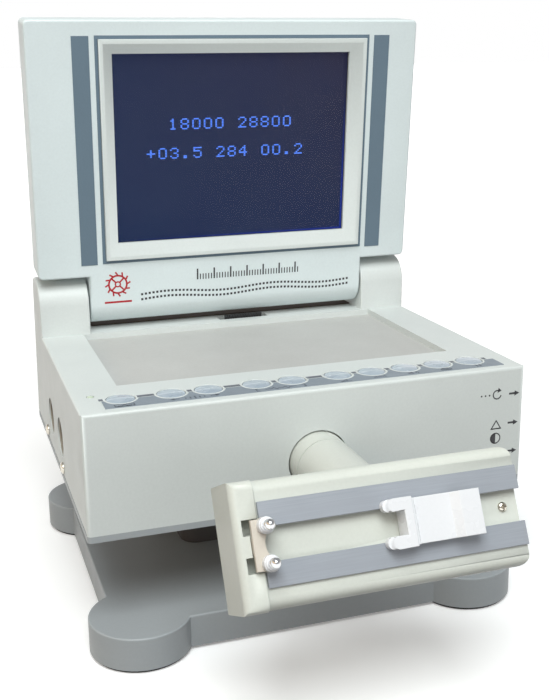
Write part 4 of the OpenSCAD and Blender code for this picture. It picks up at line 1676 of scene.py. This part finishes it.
@dataclass
class DisplayLid:
    """The folding lid: two shells, bezel, display, pane and prints."""

    half_w: float = 99.6
    bottom: float = 15.2
    top: float = 139.7
    split: float = -0.8
    barrel: float = 74.2
    view: tuple[float, float, float, float] = (-58.9, 63.1, 31.7, 124.1)
    pane_depth: float = -8.07
    digit_depth: float = -7.13
    rim: float = 2.6
    char_pitch: float = 6.0
    dot: float = 0.62
    dot_x: float = 0.86
    dot_y: float = 0.79
    ticks: int = 38
    beats: int = 58
    rows: tuple[tuple[str, float, float], ...] = (
        ("18000 28800", -31.0, 92.6), ("+03.5 284 00.2", -42.5, 78.2))

    def on_rim(self, a: Vector, b: Vector, depth: float) -> bool:
        """Tell whether an edge runs round the slab's rim.

        Args:
            a: One end, in millimetres.
            b: The other end.
            depth: Depth through the lid.

        Returns:
            Whether to round the edge.
        """
        ends = [LID.local(p) for p in (a, b)]
        flat = all(abs(p.y - depth) < 0.05 for p in ends)
        return flat and all(abs(p.x) > self.half_w - self.rim or p.z > self.top - self.rim
                            or p.z < self.bottom + self.rim for p in ends)

    def chin_end(self, a: Vector, b: Vector) -> bool:
        """Tell whether an edge lies on an end face of the barrel.

        Args:
            a: One end, in millimetres.
            b: The other end.

        Returns:
            Whether to round the edge.
        """
        ends = [LID.local(p) for p in (a, b)]
        outer = max((p.y ** 2 + p.z ** 2) ** 0.5 for p in ends) > 8
        return outer and all(abs(abs(p.x) - self.barrel) < 0.05 and p.z < self.bottom - 0.3
                             for p in ends)

    def front_shell(self, finish: bpy.types.Material) -> bpy.types.Object:
        """The front shell and barrel with softened edges.

        Args:
            finish: Material of the lid.

        Returns:
            The piece.
        """
        def chosen(a: Vector, b: Vector) -> bool:
            """Rim edges at the front and edges of the barrel's ends."""
            bezel_side = all(LID.local(p).z > self.bottom + self.rim
                             and abs(LID.local(p).x) < self.half_w - 3 for p in (a, b))
            return not bezel_side and (self.on_rim(a, b, -LID.front) or self.chin_end(a, b))

        return painted(rounded_copy("lid_front", 1.1, chosen, 3), "lid_face", finish)

    def back_shell(self, finish: bpy.types.Material) -> bpy.types.Object:
        """The rear shell with softened edges."""
        return painted(rounded_copy("lid_back", 1.3, lambda a, b: self.on_rim(a, b, LID.back), 3),
                       "lid_rear", finish)

    def bezel_frame(self, finish: bpy.types.Material) -> bpy.types.Object:
        """The sloped frame round the display.

        Args:
            finish: Its material.

        Returns:
            The piece.
        """
        def chosen(a: Vector, b: Vector) -> bool:
            """Outer and inner edges of the raised rim."""
            return all(LID.local(p).y < -LID.front - 1.8 for p in (a, b))

        return painted(rounded_copy("lcd_bezel", 0.35, chosen, 2, 12.0), "display_bezel", finish)

    def pane(self, finish: bpy.types.Material) -> bpy.types.Object:
        """The clear pane in front of the display.

        Args:
            finish: Its material.

        Returns:
            The piece.
        """
        left, right, low, high = self.view
        outline = rounded_box(left - 3, right + 3, low - 2.8, high + 2.8, 1.0)
        shape = Shape().prism(outline, -0.75, 0.0, LID.face(self.pane_depth), 0.15)
        return painted(shape.mesh("display_pane"), "display_pane", finish)

    def digits(self, scatter: Scatter, finish: bpy.types.Material) -> bpy.types.Object:
        """The lit dot-matrix numbers.

        Args:
            scatter: The scatter recipe.
            finish: Material of the lit dots.

        Returns:
            The piece.
        """
        spots = []
        for text, left, high in self.rows:
            for k, char in enumerate(text):
                for row, bits in enumerate(DOTS[char].split()):
                    spots += [LID.world((left + k * self.char_pitch + self.dot_x * (col + 0.5),
                                         self.digit_depth, high - self.dot_y * (row + 0.5)))
                              for col, bit in enumerate(bits) if bit == "1"]
        out = facing(LID.face())
        half_x, half_y = self.dot_x / 2 * 1.02, self.dot / 2
        dot = Shape().prism([(-half_x, -half_y), (half_x, -half_y), (half_x, half_y),
                             (-half_x, half_y)], -0.03, 0.03, Matrix())
        return scatter.place(dot.mesh("dot"), point_mesh(spots, [out] * len(spots)),
                             "lit_numbers", finish)

    def emblem(self, finish: bpy.types.Material) -> bpy.types.Object:
        """A plain red escape wheel over a short rule.

        Args:
            finish: The ink.

        Returns:
            The piece.
        """
        face, shape = LID.face(), Shape()
        cx, cy = -60.0, 10.6
        shape.stroke(arc(cx, cy, 4.6, 0, 360, 40), 0.9, face)
        shape.stroke(arc(cx, cy, 1.3, 0, 360, 20), 0.7, face)
        for k in range(12):
            a = math.radians(30 * k)
            root = (cx + 4.9 * math.cos(a), cy + 4.9 * math.sin(a))
            tip = (cx + 6.6 * math.cos(a + 0.16), cy + 6.6 * math.sin(a + 0.16))
            shape.stroke([root, tip], 0.8, face)
        for k in range(4):
            a = math.radians(45 + 90 * k)
            shape.stroke([(cx + 1.5 * math.cos(a), cy + 1.5 * math.sin(a)),
                          (cx + 4.3 * math.cos(a), cy + 4.3 * math.sin(a))], 0.8, face)
        shape.stroke([(cx - 7, 1.2), (cx + 7, 1.2)], 1.0, face)
        return painted(shape.mesh("chin_emblem"), "chin_emblem", finish)

    def trace(self, scatter: Scatter, finish: bpy.types.Material) -> bpy.types.Object:
        """A printed tick scale over two rows of beat dots on the chin.

        Args:
            scatter: The scatter recipe.
            finish: The ink.

        Returns:
            The piece.
        """
        spots, sizes = [], []
        for k in range(self.ticks):
            x, tall = -18 + 1.5 * k, 5.8 if k % 6 == 0 else 3.0
            spots.append((x, 10.0 + tall / 2))
            sizes.append((0.55 if k % 6 else 0.8, tall, 1))
        for k in range(self.beats):
            for lift in (0, 2.7):
                spots.append((-47.6 + 2 * k, 1.6 + lift + 0.9 * math.sin(k * 0.22)))
                sizes.append((1.15, 1.15, 1))
        out = facing(LID.face())
        world = [LID.world((x, -LID.front, z)) for x, z in spots]
        mark = Shape().print(SQUARE, Matrix())
        return scatter.place(mark.mesh("mark"), point_mesh(world, [out] * len(world), sizes),
                             "chin_scale", finish)

    def screws(self, scatter: Scatter, finish: bpy.types.Material) -> bpy.types.Object:
        """The four screws in the lid's back.

        Args:
            scatter: The scatter recipe.
            finish: Material of the screws.

        Returns:
            The piece.
        """
        spots = [LID.world((x, LID.back, z)) for x in (-85, 85) for z in (30, 128)]
        out = facing(LID.matrix(), (0, 1, 0))
        return scatter.place(CrossScrew(height=1.4).mesh(), point_mesh(spots, [out] * 4),
                             "lid_fasteners", finish)

    def build(self, looks: Finishes, scatter: Scatter) -> None:
        """Make and dress the lid.

        Args:
            looks: The finishes.
            scatter: The scatter recipe.
        """
        install(self.front_shell(looks["lid"]), Body.LID, "cream_plastic", "lid_front")
        install(self.back_shell(looks["lid"]), Body.LID, "cream_plastic", "lid_back")
        install(self.bezel_frame(looks["bezel"]), Body.LID, "bezel_plastic", "lcd_bezel")
        install(self.pane(looks["pane"]), Body.LID, "lcd_glass", "lcd_window")
        install(self.digits(scatter, looks["lit"]), Body.LID, "lcd_panel")
        install(self.emblem(looks["red_ink"]), Body.LID, "stripe_film")
        install(self.trace(scatter, looks["dark_ink"]), Body.LID, "stripe_film")
        install(self.screws(scatter, looks["plated"]), Body.LID, "screw_steel", "lid_screws")
        looks.dress("stripe", "lid_stripes")
        looks.dress("screen", "lcd_module")
        looks.dress("rubber", "lcd_gasket")


@dataclass
class SwingArm:
    """The swivelling tube between the housing and the sensor head."""

    x: float = 0.4
    z: float = 80.2
    front_y: float = -81.3
    collar_out: float = 8.7
    radius: float = 13.0
    tube_end: float = -123.6

    def collar(self, finish: bpy.types.Material) -> bpy.types.Object:
        """The fixed collar with a softened lip.

        Args:
            finish: Its material.

        Returns:
            The piece.
        """
        def lip(a: Vector, b: Vector) -> bool:
            """The collar's outer edge in front of the housing."""
            return all(p.y < self.front_y - self.collar_out + 0.05
                       and math.hypot(p.x - self.x, p.z - self.z) > 12 for p in (a, b))

        return painted(rounded_copy("arm_collar", 0.35, lip, 2), "swivel_collar", finish)

    def tube(self, finish: bpy.types.Material) -> bpy.types.Object:
        """The tube with softened rims and neck.

        Args:
            finish: Its material.

        Returns:
            The piece.
        """
        def chosen(a: Vector, b: Vector) -> bool:
            """Rims of the tube and long edges of the neck."""
            rim = all(math.hypot(p.x - self.x, p.z - self.z) > 12.5 for p in (a, b))
            neck = all(p.y < self.tube_end - 0.5 for p in (a, b)) and (a - b).length > 5
            return rim or neck

        return painted(rounded_copy("arm_tube", 0.5, chosen, 2), "swivel_tube", finish)

    def build(self, looks: Finishes) -> None:
        """Make and dress the arm.

        Args:
            looks: The finishes.
        """
        install(self.collar(looks["arm"]), Body.BASE, "cream_plastic", "arm_collar")
        install(self.tube(looks["arm"]), Body.ARM, "arm_plastic", "arm_tube")
        looks.dress("turned", "arm_retainer")


@dataclass
class SensorHead:
    """The tilting head: body, end block, rails, pins and the sliding jaw."""

    post_x: float = -50.0
    post_w: float = 6.5
    near_end: float = -51.6
    far_end: float = 50.7
    stop_screw: Spot = (44.4, 0, -3.6)

    def edges(self, least: float) -> Callable[[Vector, Vector], bool]:
        """Pick edges that are long enough to round.

        Args:
            least: Least length in millimetres.

        Returns:
            The test for rounded_copy.
        """
        return lambda a, b: (a - b).length > least

    def end_edges(self, x: float) -> Callable[[Vector, Vector], bool]:
        """Pick the outer edges of an end face.

        Args:
            x: Place of the face along the rails.

        Returns:
            The test for rounded_copy.
        """
        def test(a: Vector, b: Vector) -> bool:
            """Both ends on the plane, away from the channel."""
            ends = [HEAD.local(p) for p in (a, b)]
            return all(abs(p.x - x) < 0.05 for p in ends) and (
                max(abs(p.y) for p in ends) > 15.5 or min(p.z for p in ends) < -24)

        return test

    def shells(self, looks: Finishes) -> None:
        """The head's body, back cover and end block.

        Args:
            looks: The finishes.
        """
        for node, name, end in (("head_body", "head_case", self.near_end),
                                ("head_back", "head_cover", self.far_end),
                                ("end_block", "head_end_block", self.near_end)):
            mesh = rounded_copy(node, 0.3, self.end_edges(end), 2)
            install(painted(mesh, name, looks["head"]), Body.HEAD, "cream_plastic", node)

    def rails(self, looks: Finishes) -> None:
        """The two rails beside the channel, with fine chamfers.

        Args:
            looks: The finishes.
        """
        for node, name in (("rail_upper", "upper_rail"), ("rail_lower", "lower_rail")):
            install(painted(rounded_copy(node, 0.2, self.edges(1.0), 1), name, looks["rail"]),
                    Body.HEAD, "rail_metal", node)

    def pins(self, looks: Finishes) -> None:
        """The two pins and their sleeves.

        Args:
            looks: The finishes.
        """
        steel, plastic = Shape(), Shape()
        for w in (-self.post_w, self.post_w):
            place = HEAD.matrix() @ Matrix.Translation(Vector((self.post_x, w, 0)) * MM)
            steel.lathe([(0, 2.2), (1.9, 2.2), (1.9, 8.3), (1.75, 8.45), (1.75, 8.8), (1.9, 8.95),
                         (1.9, 9.5), (1.78, 10.1), (1.5, 10.6), (1.0, 11.05), (0.5, 11.26),
                         (0, 11.3)], place, 32)
            plastic.lathe([(1.9, 2.2), (2.85, 2.2), (3.0, 2.4), (3.0, 4.9), (2.85, 5.2),
                           (2.6, 5.25), (2.5, 5.4), (2.5, 6.05), (2.35, 6.2), (1.9, 6.2),
                           (1.9, 2.2)], place, 40)
        install(painted(steel.mesh("holding_pins"), "holding_pins", looks["pin"]), Body.HEAD,
                "screw_steel", "clamp_pins")
        install(painted(plastic.mesh("pin_tubes"), "pin_tubes", looks["white"]), Body.HEAD,
                "white_plastic", "pin_sleeves")

    def build(self, looks: Finishes, scatter: Scatter) -> None:
        """Make and dress the head.

        Args:
            looks: The finishes.
            scatter: The scatter recipe.
        """
        self.shells(looks)
        self.rails(looks)
        self.pins(looks)
        bracket = rounded_copy("pin_bracket", 0.25, self.edges(3.0), 2)
        install(painted(bracket, "pin_holder", looks["bracket"]), Body.HEAD, "bracket_plastic",
                "pin_bracket")
        jaw = rounded_copy("sliding_jaw", 0.35, self.edges(2.0), 2)
        install(painted(jaw, "jaw_slider", looks["white"]), Body.JAW, "white_plastic",
                "sliding_jaw")
        points = point_mesh([HEAD.world(self.stop_screw)], [facing(HEAD.matrix())])
        screw = scatter.place(CrossScrew(1.9, 1.3, 0.24, 1.1, 0.6).mesh(), points,
                              "rail_stop_screw", looks["plated"])
        install(screw, Body.HEAD, "screw_steel", "channel_screw")
        looks.dress("turned", "tilt_pin", "friction_washers")
        looks.dress("brass", "piezo_sensor")


@dataclass
class SideControls:
    """The reset key and the two thumb wheels in the right wall."""

    wheel_x: float = 93.6
    y: float = -66.0
    wheel_r: float = 8.0
    half_h: float = 1.4
    heights: tuple[tuple[Body, str, float], ...] = (
        (Body.CONTRAST, "contrast_wheel", 86.0), (Body.VOLUME, "volume_wheel", 72.0))
    ridges: int = 44

    def wheel(self, z: float, name: str, finish: bpy.types.Material,
              recipe: KnurledRim) -> bpy.types.Object:
        """One thumb wheel with a knurled rim.

        Args:
            z: Height of the wheel's middle.
            name: Name of the piece.
            finish: Its material.
            recipe: The knurl recipe.

        Returns:
            The piece.
        """
        h, r = self.half_h, self.wheel_r - 0.35
        profile = [(1.55, -h), (3.2, -h), (3.4, -h + 0.3), (r - 1.6, -h + 0.3), (r - 1.4, -h),
                   (r - 0.2, -h), (r, -h + 0.25), (r, h - 0.25), (r - 0.2, h), (r - 1.4, h),
                   (r - 1.6, h - 0.3), (3.4, h - 0.3), (3.2, h), (1.55, h), (1.55, -h)]
        shape = Shape().lathe(profile, level(self.wheel_x, self.y, z), 64)
        piece = recipe.bake(shape.mesh(name + "_core"), name, {
            "Ridges": self.ridges, "Rim radius": r * MM, "Ridge width": 0.33 * MM,
            "Wheel height": 2 * (h - 0.15) * MM,
            "Centre": (self.wheel_x * MM, self.y * MM, z * MM), "Finish": finish})
        piece.data.shade_smooth()
        piece.data.set_sharp_from_angle(angle=math.radians(35))
        return piece

    def build(self, looks: Finishes) -> None:
        """Make and dress the controls.

        Args:
            looks: The finishes.
        """
        recipe = KnurledRim()
        for body, node, z in self.heights:
            install(self.wheel(z, body.value + "_dial", looks["black"], recipe), body,
                    "black_plastic", node)
        shape = Shape().lathe([(0, -4.6), (3.6, -4.6), (3.6, -3.3), (2.5, -3.3), (2.5, 0.35),
                               (2.3, 0.6), (1.7, 0.6), (1.2, 0.45), (0, 0.4)],
                              placed((100, self.y, 100), (0, 1, 0), (0, 0, 1)), 40)
        install(painted(shape.mesh("reset_key"), "reset_key", looks["black"]), Body.RESET,
                "black_plastic", "reset_button")


@dataclass
class RearPanel:
    """The mains rocker in the rear wall."""

    x: float = 60.0
    z: float = 84.0
    slope: float = 0.225
    wall_foot: Point = (93.1, 57.3)

    def face(self) -> Matrix:
        """Frame on the rear wall, seen from behind, with Z out of the wall.

        Returns:
            The frame's matrix, in metres.
        """
        angle = math.atan(self.slope)
        y = self.wall_foot[0] - (self.z - self.wall_foot[1]) * self.slope
        return placed((self.x, y, self.z), (-1, 0, 0), (0, -math.sin(angle), math.cos(angle)))

    def build(self, looks: Finishes) -> None:
        """Make and dress the switch.

        Args:
            looks: The finishes.
        """
        frame_mesh = rounded_copy("switch_frame", 0.4, lambda a, b: (a - b).length > 10, 2)
        install(painted(frame_mesh, "switch_surround", looks["black"]), Body.BASE,
                "black_plastic", "switch_frame")
        rocker = rounded_copy("power_rocker", 0.35, lambda a, b: (a - b).length > 4, 2)
        install(painted(rocker, "rocker_cap", looks["black"]), Body.ROCKER, "black_plastic",
                "power_rocker")
        wall, shape = self.face(), Shape()
        shape.stroke([(13.6, 2.2), (13.6, 5.2)], 0.6, wall)
        shape.stroke(arc(13.6, -3.7, 1.4, 0, 360, 24), 0.55, wall)
        install(painted(shape.mesh("switch_marks"), "switch_marks", looks["dark_ink"]),
                Body.BASE, "label_film")


# ---------------------------------------------------------------------------------------------
# Studio
# ---------------------------------------------------------------------------------------------


@dataclass(frozen=True)
class TentSide:
    """One side of the light tent, which grows from start to end along an axis of the view."""

    axis: int
    start: float
    end: float
    color: Rgb


@dataclass
class Studio:
    """Camera, light and the plain floor."""

    place: Spot = (-0.15029, -0.47531, 0.24579)
    yaw: float = 18.421
    pitch: float = -15.398
    roll: float = -0.658
    lens: float = 53.85
    floor_reach: float = 60.0
    key_light: float = 17.0
    tent_color: Rgb = (0.27, 0.27, 0.27)
    right_side: TentSide = TentSide(0, 0.2, 0.9, (0.42, 0.41, 0.39))
    warm_left: TentSide = TentSide(0, -0.2, -0.8, (1.18, 0.86, 0.5))
    ceiling: TentSide = TentSide(2, 0.3, 0.8, (0.36, 0.38, 0.39))
    back_wall: TentSide = TentSide(1, 0.35, 0.7, (0.45, 0.44, 0.43))
    horizon: TentSide = TentSide(2, 0.32, 0.2, (1.0, 1.0, 1.0))
    ground: TentSide = TentSide(2, -0.02, -0.1, (0.02, 0.017, 0.014))

    def camera(self) -> None:
        """Set the camera where the machine is seen from."""
        yaw, pitch, roll = (math.radians(a) for a in (self.yaw, self.pitch, self.roll))
        forward = Vector((math.sin(yaw) * math.cos(pitch), math.cos(yaw) * math.cos(pitch),
                          math.sin(pitch)))
        flat_right = Vector((math.cos(yaw), -math.sin(yaw), 0))
        flat_up = flat_right.cross(forward)
        right = math.cos(roll) * flat_right + math.sin(roll) * flat_up
        up = math.cos(roll) * flat_up - math.sin(roll) * flat_right
        data = bpy.data.cameras.new("camera")
        data.lens, data.sensor_width, data.sensor_fit = self.lens, 36.0, "AUTO"
        data.clip_start = 0.01
        camera = bpy.data.objects.new("camera", data)
        camera.matrix_world = Matrix.Translation(self.place) @ Matrix(
            (right, up, -forward)).transposed().to_4x4()
        bpy.context.scene.collection.objects.link(camera)
        bpy.context.scene.camera = camera

    def floor(self) -> None:
        """A wide pale floor that glows white away from the machine and lights nothing."""
        mesh = bpy.data.meshes.new("studio_floor")
        reach = self.floor_reach
        mesh.from_pydata([(-reach, -reach, 0), (reach, -reach, 0), (reach, reach, 0),
                          (-reach, reach, 0)], [], [(0, 1, 2, 3)])
        g = Graph("studio_floor")
        tone = g.spread(g.noise(3, 2), 0.92, 0.94)
        apart = g.add("ShaderNodeVectorMath", {0: g.coords}, operation="LENGTH").outputs[1]
        glow = g.blend(g.spread(apart, 0.0, 1.0, 0.2, 1.4), (0.22, 0.22, 0.22), (1.0, 1.0, 1.0))
        mesh.materials.append(g.surface({
            "Base Color": g.grey(tone), "Roughness": 0.9, "Emission Color": glow,
            "Emission Strength": 1.0}))
        plane = bpy.data.objects.new("studio_floor", mesh)
        plane.visible_diffuse = False
        bpy.context.scene.collection.objects.link(plane)

    def softbox(self, name: str, place: Spot, target: Spot, size: float, power: float,
                color: Rgb) -> None:
        """Hang one square softbox.

        Args:
            name: Name of the light.
            place: Where it hangs, in metres.
            target: What it faces.
            size: Its side.
            power: Its power in watts.
            color: Its colour.
        """
        data = bpy.data.lights.new(name, "AREA")
        data.size, data.energy, data.color = size, power, color
        lamp = bpy.data.objects.new(name, data)
        lamp.location = place
        way = Vector(target) - Vector(place)
        lamp.rotation_euler = way.to_track_quat("-Z", "Y").to_euler()
        bpy.context.scene.collection.objects.link(lamp)

    def tent(self) -> None:
        """A light tent, each of whose sides is laid over the ones before it."""
        g = Graph("tent", world=True)
        parts = g.add("ShaderNodeSeparateXYZ", {0: g.coords}).outputs
        color = self.tent_color
        for side in (self.right_side, self.warm_left, self.ceiling, self.back_wall, self.horizon,
                     self.ground):
            share = g.spread(parts[side.axis], 0.0, 1.0, side.start, side.end, "SMOOTHSTEP")
            color = g.blend(share, color, side.color)
        back = g.add("ShaderNodeBackground", {0: color})
        g.add("ShaderNodeOutputWorld", {0: back.outputs[0]})
        bpy.context.scene.world = g.owner

    def build(self) -> None:
        """Set the whole studio up."""
        self.camera()
        self.floor()
        self.tent()
        self.softbox("key_light", (-0.235, -0.75, 1.17), (0, -0.05, 0.1), 0.8, self.key_light,
                     (0.96, 1.0, 1.0))
        bpy.context.scene.view_settings.view_transform = "Standard"


def main() -> None:
    """Build every sub-assembly in order."""
    logging.basicConfig(level=logging.INFO, format="%(message)s")
    Studio().build()
    looks = Finishes()
    scatter = Scatter()
    BaseUnit().build(looks)
    Housing().build(looks, scatter)
    ControlStrip().build(looks, scatter)
    DisplayLid().build(looks, scatter)
    SwingArm().build(looks)
    SensorHead().build(looks, scatter)
    SideControls().build(looks)
    RearPanel().build(looks)


if __name__ == "__main__":
    main()
